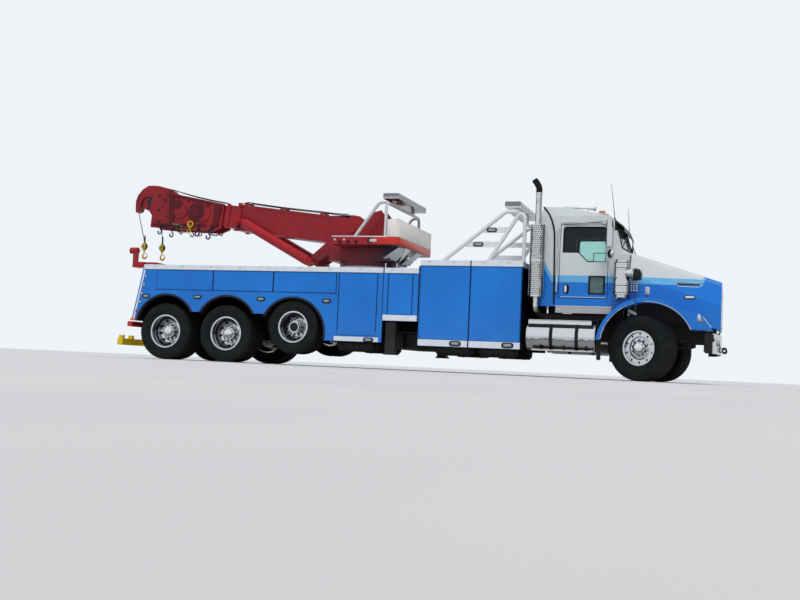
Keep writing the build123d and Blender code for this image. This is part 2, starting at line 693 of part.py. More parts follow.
# Air cleaners on the cowl, each with its intake
with BuildPart() as air_cleaners:
    cleaner_x, cleaner_y, cleaner_r = 4300, 1150, 132
    for hand in (-1, 1):
        at = (cleaner_x, hand * cleaner_y)
        bar((*at, 1460), (*at, 2010), cleaner_r)
        for low_z, high_z, cap_r in ((1413, 1460, 105), (2010, 2062, 112)):
            bar((*at, low_z), (*at, high_z), cap_r)
        for z in (1560, 1860):
            block(cleaner_x - 60, cleaner_x + 60, hand * (cab_half + seat_gap), hand * (cleaner_y - 60),
                  z, z + 40)
        bar((cleaner_x, hand * cleaner_y, 1820), (4520, hand * cleaner_y, 1820), 70)
        bar((4500, hand * cleaner_y, 1820), (4640, hand * cleaner_y, 1820), 95)
air_cleaners.part.label = "air_cleaners"
export_step(air_cleaners.part, "parts/air_cleaners.step")

# Hood with fenders, tilting forward, and the grille it carries
hood_rear_x = cowl_x + hood_gap
# x, half width low, half width high, top height, low height
hood_stations = [
    (hood_rear_x, 965, 790, 2235, 1180),
    (5540, 800, 640, 1895, 1010),
    (hood_front_x, 700, 560, 1765, 931),
]


def hood_volume(inset, front_wall, low_cut):
    """The hood between the cowl and its nose, or its inside, which stops short of the nose by a wall."""
    with BuildPart() as volume:
        for x, low_half, high_half, top, low in hood_stations:
            at = x - (front_wall if x == hood_front_x else 0)
            with BuildSketch(Plane.YZ.offset(at)):
                with BuildLine():
                    Polyline(
                        (inset - low_half, low - low_cut), (inset - low_half, top - 420),
                        (inset - high_half, top - 75 - inset), (inset - high_half + 110, top - inset),
                        (0, top + 25 - inset), (high_half - 110 - inset, top - inset),
                        (high_half - inset, top - 75 - inset), (low_half - inset, top - 420),
                        (low_half - inset, low - low_cut), close=True,
                    )
                make_face()
        loft(ruled=True)
    return volume.part


pod_side = [(5200, 1100), (5299, 1228), (5606, 1178), (5825, 900), (5400, 900)]
pod_plan = [(5150, 700), (5150, fender_y), (5480, fender_y), (5825, 1050), (5825, 700)]
grille_half, grille_low, grille_high = 500, 985, 1640
nose_wall = 30
with BuildPart() as hood:
    add(hood_volume(0, 0, 0))
    add(hood_volume(hood_wall, nose_wall, 50), mode=Mode.SUBTRACT)
    for hand in (-1, 1):
        near, far = sorted((hand * 640, hand * fender_y))
        lip_near, lip_far = sorted((hand * (fender_y - hood_wall), hand * fender_y))
        for inner_r, y0, y1 in ((front_arch_r + fender_band - hood_wall, near, far),
                                (front_arch_r, lip_near, lip_far)):
            with BuildSketch(side_view.offset(y0)) as fender:
                with Locations((-front_axle_x, front_tyre_r)):
                    Circle(front_arch_r + fender_band)
                    Circle(inner_r, mode=Mode.SUBTRACT)
                with Locations((-(fender_split_x + hood_gap + 500), 900 + 400)):
                    Rectangle(1000, 800, mode=Mode.INTERSECT)
            extrude(fender.sketch, amount=y1 - y0)
        # Pod at the fender's front end, drawn in towards the nose
        with BuildPart():
            prism(side_view, side(pod_side), near, far)
            with BuildSketch(Plane.XY.offset(800)) as pod:
                with BuildLine():
                    Polyline(*[(x, hand * y) for x, y in pod_plan], close=True)
                make_face()
            extrude(pod.sketch, amount=600, mode=Mode.INTERSECT)
    with BuildSketch(side_view.offset(-fender_y - 1)) as arch:
        with Locations((-front_axle_x, front_tyre_r)):
            Circle(front_arch_r)
    extrude(arch.sketch, amount=2 * (fender_y + 1), mode=Mode.SUBTRACT)
    block(hood_front_x - 60, hood_front_x + 10, -grille_half, grille_half, grille_low, grille_high,
          mode=Mode.SUBTRACT)
hood.part.label = "hood"
export_step(hood.part, "parts/hood.step")

# Grille with its surround and the hinge tongues
with BuildPart() as grille:
    edge = 40
    half, low, high = grille_half - seat_gap, grille_low + seat_gap, grille_high - seat_gap
    block(hood_front_x - nose_wall, hood_front_x + 10, -half, half, low, high)
    block(hood_front_x - 15, hood_front_x + 20, -half + edge, half - edge, low + edge, high - edge,
          mode=Mode.SUBTRACT)
    bar_count = 8
    bar_pitch = (high - low - 2 * edge) / bar_count
    for number in range(bar_count):
        bar_z = low + edge + (number + 0.5) * bar_pitch
        block(hood_front_x - 20, hood_front_x + 6, -half + edge, half - edge, bar_z - 14, bar_z + 14)
    for hand in (-1, 1):
        block(hinge_x - 22, hinge_x + 18, hand * (rail_y + seat_gap), hand * (rail_y + 26), hinge_z - 22,
              low + 60)
        block(hinge_x - 22, hood_front_x - nose_wall + 5, hand * (rail_y + seat_gap), hand * (rail_y + 26),
              low + 5, low + 60)
        bar((hinge_x, hand * (rail_y + 20), hinge_z), (hinge_x, hand * (rail_y + seat_gap), hinge_z), 22)
grille.part.label = "grille"
export_step(grille.part, "parts/grille.step")

# Headlamps on the sloping fronts of the pods
with BuildPart() as headlamps:
    slope = Vector(5825 - 5606, 0, 900 - 1178)
    lamp_top = Vector(5606, 0, 1178) + slope * 0.18
    lamp_low = Vector(5606, 0, 1178) + slope * 0.82
    away = slope.cross(Vector(0, 1, 0)).normalized()
    lens = [lamp_top + away * seat_gap, lamp_low + away * seat_gap, lamp_low + away * 18,
            lamp_top + away * 18]
    for hand in (-1, 1):
        near, far = sorted((hand * 780, hand * 1040))
        prism(side_view, side([(p.X, p.Z) for p in lens]), near, far)
headlamps.part.label = "headlamps"
export_step(headlamps.part, "parts/headlamps.step")

# Rear body: deck, side compartments over the wheels, sloping tail and sub-frame
# x from, x to, low height and high height of each rear door
rear_bays = [
    (-4690, -3460, lid_bottom_z, lid_top_z),
    (-3444, -2182, lid_bottom_z, lid_top_z),
    (-2166, -890, lid_bottom_z, lid_top_z),
    (-835, -78, skirt_z + 110, lid_top_z),
    (130, 598, step_z + 116, lid_top_z),
]
box_middle_x = (box_rear_x + box_front_x) / 2
box_bays = [
    (box_rear_x + 12, box_middle_x - 6, box_lid_bottom_z, box_lid_top_z),
    (box_middle_x + 6, box_front_x - 12, box_lid_bottom_z, box_lid_top_z),
]
arch_centres = [lift_axle_x, tandem_x + tandem_half + arch_shift, tandem_x - tandem_half + arch_shift]
rear_outline = [
    (body_rear_x, tail_z), (body_rear_top_x, deck_z), (body_front_x, deck_z), (body_front_x, step_z),
    (step_x, step_z), (step_x, skirt_z), (lift_axle_x, skirt_z), (lift_axle_x, fascia_z),
    (arch_centres[2], fascia_z), (arch_centres[2], tail_z),
]
bay_back_y = 700
tail_sheet = 60


def bay(hand, x0, x1, z0, z1):
    """A compartment with a rebate round its mouth for the door to close on."""
    block(x0, x1, hand * (half_width - lid_thick - seat_gap), hand * (half_width + 1), z0, z1,
          mode=Mode.SUBTRACT)
    block(x0 + jamb, x1 - jamb, hand * bay_back_y, hand * half_width, z0 + jamb, z1 - jamb,
          mode=Mode.SUBTRACT)


with BuildPart() as rear_body:
    for hand in (-1, 1):
        near, far = sorted((hand * body_inner_y, hand * half_width))
        with BuildSketch(side_view.offset(near)) as flank:
            with BuildLine():
                Polyline(*side(rear_outline), close=True)
            make_face()
            for arch_x in arch_centres:
                with Locations((-arch_x, arch_z)):
                    Circle(arch_r, mode=Mode.SUBTRACT)
        extrude(flank.sketch, amount=far - near)
        for x0, x1, z0, z1 in rear_bays:
            bay(hand, x0, x1, z0, z1)
    block(body_rear_top_x + 20, body_front_x, -body_inner_y, body_inner_y, deck_z - deck_plate, deck_z)
    prism(side_view, side([
        (body_rear_x, tail_z), (body_rear_top_x, deck_z), (body_rear_top_x + tail_sheet, deck_z),
        (body_rear_x + tail_sheet, tail_z),
    ]), -body_inner_y, body_inner_y)
    for hand in (-1, 1):
        block(frame_rear_x + 80, body_front_x, hand * (rail_y - 60), hand * rail_y, rail_top_z + seat_gap,
              deck_z - deck_plate)
    for hand in (-1, 1):
        block(-4985, -4735, hand * 140 - 40, hand * 140 + 40, deck_z, deck_z + foot_pad)
    with Locations((slew_x, 0, (deck_z + ring_top_z) / 2)):
        Cylinder(ring_r, ring_top_z - deck_z)
rear_body.part.label = "rear_body"
export_step(rear_body.part, "parts/rear_body.step")

# Taller boxes behind the cab, joined by a deck and a bulkhead
with BuildPart() as front_boxes:
    for hand in (-1, 1):
        block(box_rear_x, box_front_x, hand * body_inner_y, hand * half_width, box_bottom_z, box_top_z)
        for x0, x1, z0, z1 in box_bays:
            bay(hand, x0, x1, z0, z1)
        block(box_rear_x, box_front_x, hand * (rail_y - 60), hand * rail_y, rail_top_z + seat_gap,
              box_top_z - 60)
    block(box_rear_x, box_front_x, -body_inner_y, body_inner_y, box_top_z - 60, box_top_z)
    block(box_front_x - 40, box_front_x, -body_inner_y, body_inner_y, rail_top_z + seat_gap, box_top_z - 60)
front_boxes.part.label = "front_boxes"
export_step(front_boxes.part, "parts/front_boxes.step")

# Compartment doors: the rear ones share one hinge line, the taller boxes another
for side_name, hand in sides:
    for group_name, bays in (("lids_rear", rear_bays), ("lids_front", box_bays)):
        with BuildPart() as lids:
            for x0, x1, z0, z1 in bays:
                block(x0 + lid_gap, x1 - lid_gap, hand * (half_width - lid_thick), hand * half_width,
                      z0 + lid_gap, z1 - lid_gap)
        lids.part.label = f"{group_name}_{side_name}"
        export_step(lids.part, f"parts/{lids.part.label}.step")

# Tail bar under the body, in two halves that leave room for the underlift arm, each on a bracket
tail_bar_x = body_rear_x - 115
with BuildPart() as tail_bar:
    for hand in (-1, 1):
        near, far = sorted((hand * (lift_ear_y + 40), hand * (half_width - 50)))
        block(tail_bar_x, tail_bar_x + 100, near, far, 620, 720)
        block(tail_bar_x + 50, frame_rear_x + 60, hand * (rail_y + seat_gap), hand * (rail_y + 30), 640,
              tail_z - 4)
tail_bar.part.label = "tail_bar"
export_step(tail_bar.part, "parts/tail_bar.step")

def tail_face(z):
    """The place along the truck of the tail's sloping face at a height, all but the seat gap."""
    slope = (body_rear_top_x - body_rear_x) / (deck_z - tail_z)
    return body_rear_x + (z - tail_z) * slope - seat_gap


# Tower over the tail that the underlift is hoisted by, braced to the deck
with BuildPart() as tower:
    tower_rear_x, tower_front_x, tower_half = -5690, -5430, 150
    tower_low_z, tower_top_z, horn_y = 1280, 2015, -170
    brace_foot_z = deck_z + foot_pad + seat_gap
    block(tower_rear_x, tower_front_x, -tower_half, tower_half, tower_low_z, tower_top_z)
    block(tower_rear_x + 20, tower_front_x - 20, -tower_half + 20, tower_half - 20, tower_low_z,
          tower_top_z - 20,
          mode=Mode.SUBTRACT)
    block(-5960, tower_rear_x, horn_y - 45, 45, 1900, tower_top_z)
    block(-5960, -5875, horn_y - 45, horn_y + 45, 1950, 2200)
    bar((-6040, horn_y, 2255), (-5868, horn_y, 2255), 68)
    for hand in (-1, 1):
        near, far = sorted((hand * (tower_half - 20), hand * tower_half))
        prism(side_view, side([
            (tower_front_x, tower_top_z), (-4760, brace_foot_z), (-4960, brace_foot_z),
            (tower_front_x, tower_top_z - 90),
        ]), near, far)
        prism(side_view, side([
            (tower_front_x, tower_low_z + 250), (tower_front_x, tower_low_z), (tail_face(1230), 1230),
            (tail_face(1480), 1480),
        ]), near, far)
tower.part.label = "tower"
export_step(tower.part, "parts/tower.step")

# Rack over the front boxes: bent tubes, slats and the light bar
rack_y = 1090
rack_tube_r = 36
tube_a = [(1125, box_top_z), (2225, 2915), (2450, 2915)]
tube_b = [(1951, box_top_z), (2500, 2930), (2575, 2800), (2575, box_top_z)]
slope_a = (tube_a[1][0] - tube_a[0][0]) / (tube_a[1][1] - tube_a[0][1])
slope_b = (tube_b[1][0] - tube_b[0][0]) / (tube_b[1][1] - tube_b[0][1])
with BuildPart() as rack:
    for hand in (-1, 1):
        for foot_x in (tube_a[0][0], tube_b[0][0], tube_b[3][0]):
            block(foot_x - 45, foot_x + (30 if foot_x > 2500 else 60), hand * rack_y - 50, hand * rack_y + 50,
                  box_top_z + seat_gap, box_top_z + 34)
        tube([(x, hand * rack_y, max(z, box_top_z + 30)) for x, z in tube_a], 110, rack_tube_r)
        tube([(x, hand * rack_y, max(z, box_top_z + 30)) for x, z in tube_b], 60, rack_tube_r)
        for slat_z in (2325, 2585):
            rear = tube_a[0][0] + (slat_z - box_top_z) * slope_a
            front = tube_b[0][0] + (slat_z - box_top_z) * slope_b
            block(rear, front, hand * rack_y - 10, hand * rack_y + 10, slat_z - 50, slat_z + 50)
    bar((2300, -rack_y, 2915), (2300, rack_y, 2915), 30)
    for bracket_y in (-500, 500):
        block(2270, 2330, bracket_y - 30, bracket_y + 30, 2930, 3035)
    block(2150, 2430, -850, 850, 3030, 3140)
rack.part.label = "rack"
export_step(rack.part, "parts/rack.step")

# Turret: bearing, base, floor with its skirt, and the cheeks that carry the boom
with BuildPart() as turret:
    turret_z = ring_top_z + seat_gap
    tail_wall = 30
    corner = 45
    with Locations((slew_x, 0, (turret_z + 2060) / 2)):
        Cylinder(ring_r - 10, 2060 - turret_z)
    block(-1360, -117, -560, 560, 2050, floor_low_z)
    front_x, tail_x = -1110, turret_tail_x
    plan = [
        (front_x, -turret_half), (tail_x - corner, -turret_half), (tail_x, corner - turret_half),
        (tail_x, turret_half - corner), (tail_x - corner, turret_half), (front_x, turret_half),
    ]
    inner_plan = [
        (front_x - 10, tail_wall - turret_half), (tail_x - corner, tail_wall - turret_half),
        (tail_x - tail_wall, corner - turret_half), (tail_x - tail_wall, turret_half - corner),
        (tail_x - corner, turret_half - tail_wall), (front_x - 10, turret_half - tail_wall),
    ]
    prism(Plane.XY, plan, floor_low_z, platform_z)
    prism(Plane.XY, plan, platform_z, tail_top_z)
    prism(Plane.XY, inner_plan, platform_z, tail_top_z + 1, mode=Mode.SUBTRACT)
    block(front_x - 10, -20, -turret_half - 1, turret_half + 1, platform_z, tail_top_z + 1,
          mode=Mode.SUBTRACT)
    cheek_y, cheek_thick = 268, 30
    cheek = [
        (-1300, floor_low_z), (lower_pin_x - 60, lower_pin_z - 95), (lower_pin_x - 80, lower_pin_z + 70),
        (-1540, 2440), (-1180, 2860), (-1010, 2985), (-860, 2960), (-500, 2720), (-360, platform_z),
        (-360, floor_low_z),
    ]
    for hand in (-1, 1):
        near, far = sorted((hand * cheek_y, hand * (cheek_y + cheek_thick)))
        prism(side_view, side(cheek), near, far)
        bar((lower_pin_x, hand * cheek_y, lower_pin_z), (lower_pin_x, hand * (cylinder_y + 85),
                                                         lower_pin_z), 38)
        bar((pivot_x, hand * 230, pivot_z), (pivot_x, hand * (cheek_y + cheek_thick + 30), pivot_z), 70)
turret.part.label = "turret"
export_step(turret.part, "parts/turret.step")

# Winch drums behind the boom foot, between standing plates
with BuildPart() as winches:
    winch_x, winch_z, drum_r, drum_half = -330, 2760, 110, 180
    for hand in (-1, 1):
        drum_y = hand * 530
        bar((winch_x, drum_y - drum_half, winch_z), (winch_x, drum_y + drum_half, winch_z), drum_r)
        for flange_y in (drum_y - drum_half, drum_y + drum_half - 20):
            bar((winch_x, flange_y, winch_z), (winch_x, flange_y + 20, winch_z), drum_r + 90)
        for foot_y in (drum_y - drum_half - 25, drum_y + drum_half):
            prism(side_view, side([
                (winch_x - 190, platform_z + seat_gap), (winch_x - 120, 2960), (winch_x + 60, 3010),
                (winch_x + 180, 2860), (winch_x + 230, platform_z + seat_gap),
            ]), foot_y, foot_y + 25)
winches.part.label = "winches"
export_step(winches.part, "parts/winches.step")

# Mast over the turret's tail with its light bar
with BuildPart() as mast:
    mast_y, mast_tube_r, hoop_x, hoop_top_z = 1040, 30, -60, 3110
    foot_z = platform_z + seat_gap
    for hand in (-1, 1):
        block(-720, -600, hand * mast_y - 38, hand * mast_y + 38, foot_z, foot_z + 20)
        tube([(-654, hand * mast_y, foot_z + 19), (-200, hand * mast_y, hoop_top_z),
              (hoop_x, hand * mast_y, hoop_top_z)],
             120, mast_tube_r)
    tube([(hoop_x, -mast_y, foot_z), (hoop_x, -mast_y, hoop_top_z), (hoop_x, mast_y, hoop_top_z),
          (hoop_x, mast_y, foot_z)], 130, mast_tube_r)
    block(-180, 120, -900, 900, hoop_top_z + 95, hoop_top_z + 195)
    for bracket_y in (-600, 600):
        block(hoop_x - 30, hoop_x + 30, bracket_y - 30, bracket_y + 30, hoop_top_z, hoop_top_z + 100)
mast.part.label = "mast"
export_step(mast.part, "parts/mast.step")

# Boom, drawn on a plane that leans with it: X along the boom from its pivot, Y upward across it
lean = radians(boom_angle)
boom_axis = Vector(-cos(lean), 0, sin(lean))
boom_view = Plane(origin=(pivot_x, 0, pivot_z), x_dir=boom_axis, z_dir=(0, 1, 0))
boom_low, boom_high = -310, 220
base_half = 240
base_wall = 14
base_end = 2560
mid_play = 22
pad_long = 120
mid_half = base_half - base_wall - mid_play
mid_low, mid_high = boom_low + base_wall + mid_play, boom_high - base_wall - mid_play
mid_wall = 12
mid_end = 2830
head_play = 20
head_half = mid_half - mid_wall - head_play
head_low, head_high = mid_low + mid_wall + head_play, mid_high - mid_wall - head_play


def boom_point(along, up):
    """A point given along the boom from its pivot and up across it, in the truck's own axes."""
    return Vector(pivot_x, 0, pivot_z) + boom_axis * along + Vector(sin(lean), 0, cos(lean)) * up


def box_section(start, end, low, high, half, wall):
    """A hollow stretch of the boom, square to the boom's line."""
    prism(boom_view, [(start, low), (end, low), (end, high), (start, high)], -half, half)
    prism(boom_view, [(start - 1, low + wall), (end + 1, low + wall), (end + 1, high - wall),
                      (start - 1, high - wall)],
          -half + wall, half - wall, mode=Mode.SUBTRACT)


def wear_pads(at, low, high, half, play):
    """Pads that fill the running gap round a sliding section, all but the seat gap."""
    reach = play - seat_gap
    prism(boom_view, [(at, high - 1), (at + pad_long, high - 1), (at + pad_long, high + reach),
                      (at, high + reach)],
          -half * 0.7, half * 0.7)
    prism(boom_view, [(at, low - reach), (at + pad_long, low - reach), (at + pad_long, low + 1),
                      (at, low + 1)],
          -half * 0.7, half * 0.7)


pivot_hole = 70 + seat_gap
upper_boss_y = cylinder_y - 85 - 5
with BuildPart() as boom_base:
    box_section(200, base_end, boom_low, boom_high, base_half, base_wall)
    for hand in (-1, 1):
        near, far = sorted((hand * (base_half - base_wall), hand * (cheek_y - seat_gap)))
        prism(boom_view, [(-150, -110), (60, -200), (300, boom_low), (420, boom_low), (420, boom_high),
                          (-60, boom_high), (-150, 110)], near, far)
        near, far = sorted((hand * base_half, hand * 262))
        prism(boom_view, [(base_end - 90, boom_low - 20), (base_end, boom_low - 20),
                          (base_end, boom_high + 30),
                          (base_end - 90, boom_high + 30)], near, far)
        bar((upper_pin_x, hand * base_half, upper_pin_z), (upper_pin_x, hand * upper_boss_y, upper_pin_z), 60)
    bar((pivot_x, -300, pivot_z), (pivot_x, 300, pivot_z), pivot_hole, mode=Mode.SUBTRACT)
    bar((pivot_x, -base_half + base_wall, pivot_z), (pivot_x, base_half - base_wall, pivot_z), 95)
    bar((pivot_x, -300, pivot_z), (pivot_x, 300, pivot_z), pivot_hole, mode=Mode.SUBTRACT)
boom_base.part.label = "boom_base"
export_step(boom_base.part, "parts/boom_base.step")

with BuildPart() as boom_mid:
    box_section(330, mid_end, mid_low, mid_high, mid_half, mid_wall)
    wear_pads(base_end - 300, mid_low, mid_high, mid_half, mid_play)
    for hand in (-1, 1):
        near, far = sorted((hand * mid_half, hand * (mid_half + 20)))
        prism(boom_view, [(mid_end - 80, mid_low - 20), (mid_end, mid_low - 20), (mid_end, mid_high + 20),
                          (mid_end - 80, mid_high + 20)], near, far)
boom_mid.part.label = "boom_mid"
export_step(boom_mid.part, "parts/boom_mid.step")

# Boom head: side plates with sheaves between them, and the curved nose
with BuildPart() as boom_head:
    box_section(520, 3300, head_low, head_high, head_half, 12)
    wear_pads(mid_end - 300, head_low, head_high, head_half, head_play)
    head_cheek = [
        (2900, -300), (3080, -400), (3770, -450), (4201, -480), (4550, -488), (4560, -240), (4640, -160),
        (4620, 60),
        (4520, 300), (4198, 280), (3300, 215), (2900, 190),
    ]
    for hand in (-1, 1):
        near, far = sorted((hand * head_half, hand * (head_half + 40)))
        prism(boom_view, head_cheek, near, far)
    nose = [
        (4100, 250), (4240, 350), (4540, 407), (4700, 405), (4832, 384), (4960, 290), (5050, 150), (5078, 20),
        (5041, -213), (4970, -178.5), (4959, -160), (4945, -60), (4925, 60), (4880, 120), (4812, 155),
        (4700, 160), (4560, 120),
        (4400, 40), (4100, 40),
    ]
    prism(boom_view, nose, -95, 95)
    # along the boom, up across it, radius, and Y where each sheave or boss starts and ends
    for boss_at, boss_up, boss_r, boss_from, boss_to in (
        (4430, -300, 130, 2, head_half), (4180, -60, 190, -head_half, head_half),
        (3350, -80, 150, -head_half - 60, head_half + 60), (3900, -80, 150, -head_half - 60, head_half + 60),
        (4757, 20, 155, -70, 70),
    ):
        centre = boom_point(boss_at, boss_up)
        bar(centre + Vector(0, boss_from, 0), centre + Vector(0, boss_to, 0), boss_r)
boom_head.part.label = "boom_head"
export_step(boom_head.part, "parts/boom_head.step")

# Lift cylinders, one each side of the boom
lower_pin = Vector(lower_pin_x, 0, lower_pin_z)
upper_pin = Vector(upper_pin_x, 0, upper_pin_z)
cylinder_line = (upper_pin - lower_pin).normalized()
closed_length = (upper_pin - lower_pin).length
barrel_r = 95
rod_r = 60
pin_r = 38
barrel_length = closed_length - 170
for label in ("lift_barrels", "lift_rods"):
    with BuildPart() as cylinders:
        for hand in (-1, 1):
            shift = Vector(0, hand * cylinder_y, 0)
            low_eye, high_eye = lower_pin + shift, upper_pin + shift
            if label == "lift_barrels":
                bar(low_eye + cylinder_line * 60, low_eye + cylinder_line * barrel_length, barrel_r)
                bar(low_eye - Vector(0, 90, 0), low_eye + Vector(0, 90, 0), 80)
                bar(low_eye + cylinder_line * 200, low_eye + cylinder_line * (barrel_length + 5),
                    rod_r + seat_gap,
                    mode=Mode.SUBTRACT)
                bar(low_eye - Vector(0, 100, 0), low_eye + Vector(0, 100, 0), pin_r + seat_gap,
                    mode=Mode.SUBTRACT)
            else:
                bar(low_eye + cylinder_line * 220, high_eye, rod_r)
                bar(high_eye - Vector(0, 85, 0), high_eye + Vector(0, 85, 0), 90)
    cylinders.part.label = label
    export_step(cylinders.part, f"parts/{label}.step")

# Hook blocks hanging from the nose and from the head on their ropes
rope_r = 8
rope_y = 50
# name, rope's top, block's top as (x, z), and the side of the boom's middle it hangs on
rope_drops = [
    ("hook_nose", boom_point(4996, -192.5), (-5800, 2440), -1),
    ("hook_head", boom_point(4440, -432.5), (-5430, 2420), 1),
]
for label, rope_top, (x, z), hand in rope_drops:
    with BuildPart() as hook:
        y = hand * rope_y
        bar(rope_top + Vector(0, y, 0), (x, y, z), rope_r)
        block(x - 50, x + 50, y - 36, y + 36, z - 150, z)
        bar((x, y - 42, z - 80), (x, y + 42, z - 80), 70)
        tube([(x, y, z - 140), (x, y, z - 330), (x + 75, y, z - 330), (x + 75, y, z - 250)], 24, 16)
    hook.part.label = label
    export_step(hook.part, f"parts/{label}.step")

# Underlift: arm on the pin at the frame's end, and the sliding bar with its cross tube
with BuildPart() as underlift_arm:
    arm_y = lift_ear_y - seat_gap
    for hand in (-1, 1):
        near, far = sorted((hand * (arm_y - 30), hand * arm_y))
        prism(side_view, side([
            (lift_pin_x + 60, 700), (lift_pin_x - 60, 700), (lift_pin_x - 120, 480), (lift_pin_x - 120, 220),
            (lift_pin_x + 120, 220), (lift_pin_x + 120, 480),
        ]), near, far)
    block(lift_pin_x - 380, lift_pin_x + 180, -arm_y + 20, arm_y - 20, 220, 420)
    block(lift_pin_x - 390, lift_pin_x + 190, -130, 130, 245, 395, mode=Mode.SUBTRACT)
    bar((lift_pin_x, -250, lift_pin_z), (lift_pin_x, 250, lift_pin_z), lift_pin_r)
underlift_arm.part.label = "underlift_arm"
export_step(underlift_arm.part, "parts/underlift_arm.step")

with BuildPart() as underlift_bar:
    cross_x = lift_pin_x - 600
    block(cross_x, lift_pin_x + 160, -118, 118, 245 + seat_gap, 382)
    block(cross_x - 120, cross_x, -900, 900, 250, 380)
    for hand in (-1, 1):
        for fork_y in (500, 840):
            block(cross_x - 110, cross_x - 10, hand * fork_y - 30, hand * fork_y + 30, 380, 450)
underlift_bar.part.label = "underlift_bar"
export_step(underlift_bar.part, "parts/underlift_bar.step")
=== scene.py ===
import math

import bmesh
import bpy
from mathutils import Matrix, Vector


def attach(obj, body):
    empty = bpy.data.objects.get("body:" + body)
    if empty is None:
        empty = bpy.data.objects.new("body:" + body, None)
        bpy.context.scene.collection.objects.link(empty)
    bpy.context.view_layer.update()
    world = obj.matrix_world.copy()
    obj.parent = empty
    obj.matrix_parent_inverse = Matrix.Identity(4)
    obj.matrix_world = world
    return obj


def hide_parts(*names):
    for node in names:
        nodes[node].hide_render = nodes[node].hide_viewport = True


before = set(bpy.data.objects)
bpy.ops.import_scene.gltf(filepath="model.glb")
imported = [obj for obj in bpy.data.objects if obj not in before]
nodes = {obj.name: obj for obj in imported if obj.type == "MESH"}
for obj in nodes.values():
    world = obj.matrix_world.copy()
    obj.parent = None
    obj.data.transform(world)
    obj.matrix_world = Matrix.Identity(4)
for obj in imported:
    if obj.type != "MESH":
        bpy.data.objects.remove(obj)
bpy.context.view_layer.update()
SIDES = (("right", -1), ("left", 1))
HANDS = (-1, 1)
FRONT_X, FRONT_Z = 4.755, 0.562     # the steered wheels' axle
STACK_X, STACK_Y = 2.822, -1.15     # the exhaust stack's centre line
CLEANER_X, CLEANER_Y = 4.3, 1.15    # an air cleaner's centre line
TANK_Y, TANK_Z = 1.025, 0.71        # a fuel tank's centre line
TRIM_Y = 1.2975                     # the face of the body's pale trim
CAB_Y = 1.01                        # half the cab's width below the belt
BLEND = 0.002                       # how far one colour runs into the next, in metres


# ---- materials


class Tree:
    """A node tree whose sums read as plain calls."""

    def __init__(self, tree):
        self.tree = tree
        tree.nodes.clear()

    def put(self, socket, value):
        if isinstance(value, bpy.types.NodeSocket):
            self.tree.links.new(value, socket)
        elif value is not None:
            socket.default_value = value

    def new(self, kind, inputs=None):
        """A node, its inputs set to values or joined to other nodes' outputs."""
        node = self.tree.nodes.new(kind)
        for key, value in (inputs or {}).items():
            self.put(node.inputs[key], value)
        return node

    def math(self, kind, a, b=0.0, clamp=False):
        node = self.new("ShaderNodeMath", {0: a, 1: b})
        node.operation = kind
        node.use_clamp = clamp
        return node.outputs[0]

    def times(self, first, *others):
        for value in others:
            first = self.math("MULTIPLY", first, value)
        return first


class Graph(Tree):
    """A finish. Places are in the truck's own axes, in metres."""

    def __init__(self, name, colour, rough, metal=0.0, coat=0.0, shine=0.25):
        self.made = bpy.data.materials.new(name)
        self.made.use_nodes = True
        super().__init__(self.made.node_tree)
        self.shader = self.new("ShaderNodeBsdfPrincipled", {
            "Base Color": (*colour, 1), "Roughness": rough, "Metallic": metal, "Coat Weight": coat,
            "Coat Roughness": 0.08, "Specular IOR Level": shine})
        self.new("ShaderNodeOutputMaterial", {0: self.shader.outputs[0]})
        self.place = self.new("ShaderNodeTexCoord").outputs["Object"]
        self.x, self.y, self.z = self.split(self.place)
        self.colour = colour
        self.rough = rough

    def set(self, name, value):
        self.put(self.shader.inputs[name], value)

    def split(self, vector):
        return self.new("ShaderNodeSeparateXYZ", {0: vector}).outputs

    def above(self, value, edge):
        """1 where value is above edge, 0 below it."""
        return self.math("MULTIPLY", self.math("SUBTRACT", value, edge), 1 / BLEND, clamp=True)

    def below(self, value, edge):
        return self.math("SUBTRACT", 1.0, self.above(value, edge))

    def mix(self, amount, a, b):
        node = self.new("ShaderNodeMix")
        node.data_type = "RGBA"
        for key, value in ((0, amount), (6, a), (7, b)):
            self.put(node.inputs[key], (*value, 1) if isinstance(value, tuple) else value)
        return node.outputs[2]

    def noise(self, scale, detail=3.0, rough=0.55, stretch=None):
        place = self.place
        if stretch:
            place = self.new("ShaderNodeMapping", {"Scale": stretch, "Vector": place}).outputs[0]
        return self.new("ShaderNodeTexNoise", {
            "Scale": scale, "Detail": detail, "Roughness": rough, "Vector": place}).outputs[0]

    def ramp(self, value, low, high):
        """0 at low, 1 at high."""
        return self.new("ShaderNodeMapRange", {"From Min": low, "From Max": high, "Value": value}).outputs[0]

    def bump(self, height, strength, distance=0.002, edge=0.0):
        """Fine relief; edge rounds the shading of sharp edges."""
        node = self.new("ShaderNodeBump", {"Strength": strength, "Distance": distance, "Height": height})
        if edge:
            bevel = self.new("ShaderNodeBevel", {"Radius": edge})
            bevel.samples = 3
            self.put(node.inputs["Normal"], bevel.outputs[0])
        self.set("Normal", node.outputs[0])


BLUE = (0.003, 0.168, 0.62)
SKY = (0.13, 0.42, 0.74)
SILVER = (0.6, 0.645, 0.665)
WHITE = (0.74, 0.76, 0.78)
CRIMSON = (0.33, 0.008, 0.018)
DUST = (0.16, 0.145, 0.13)


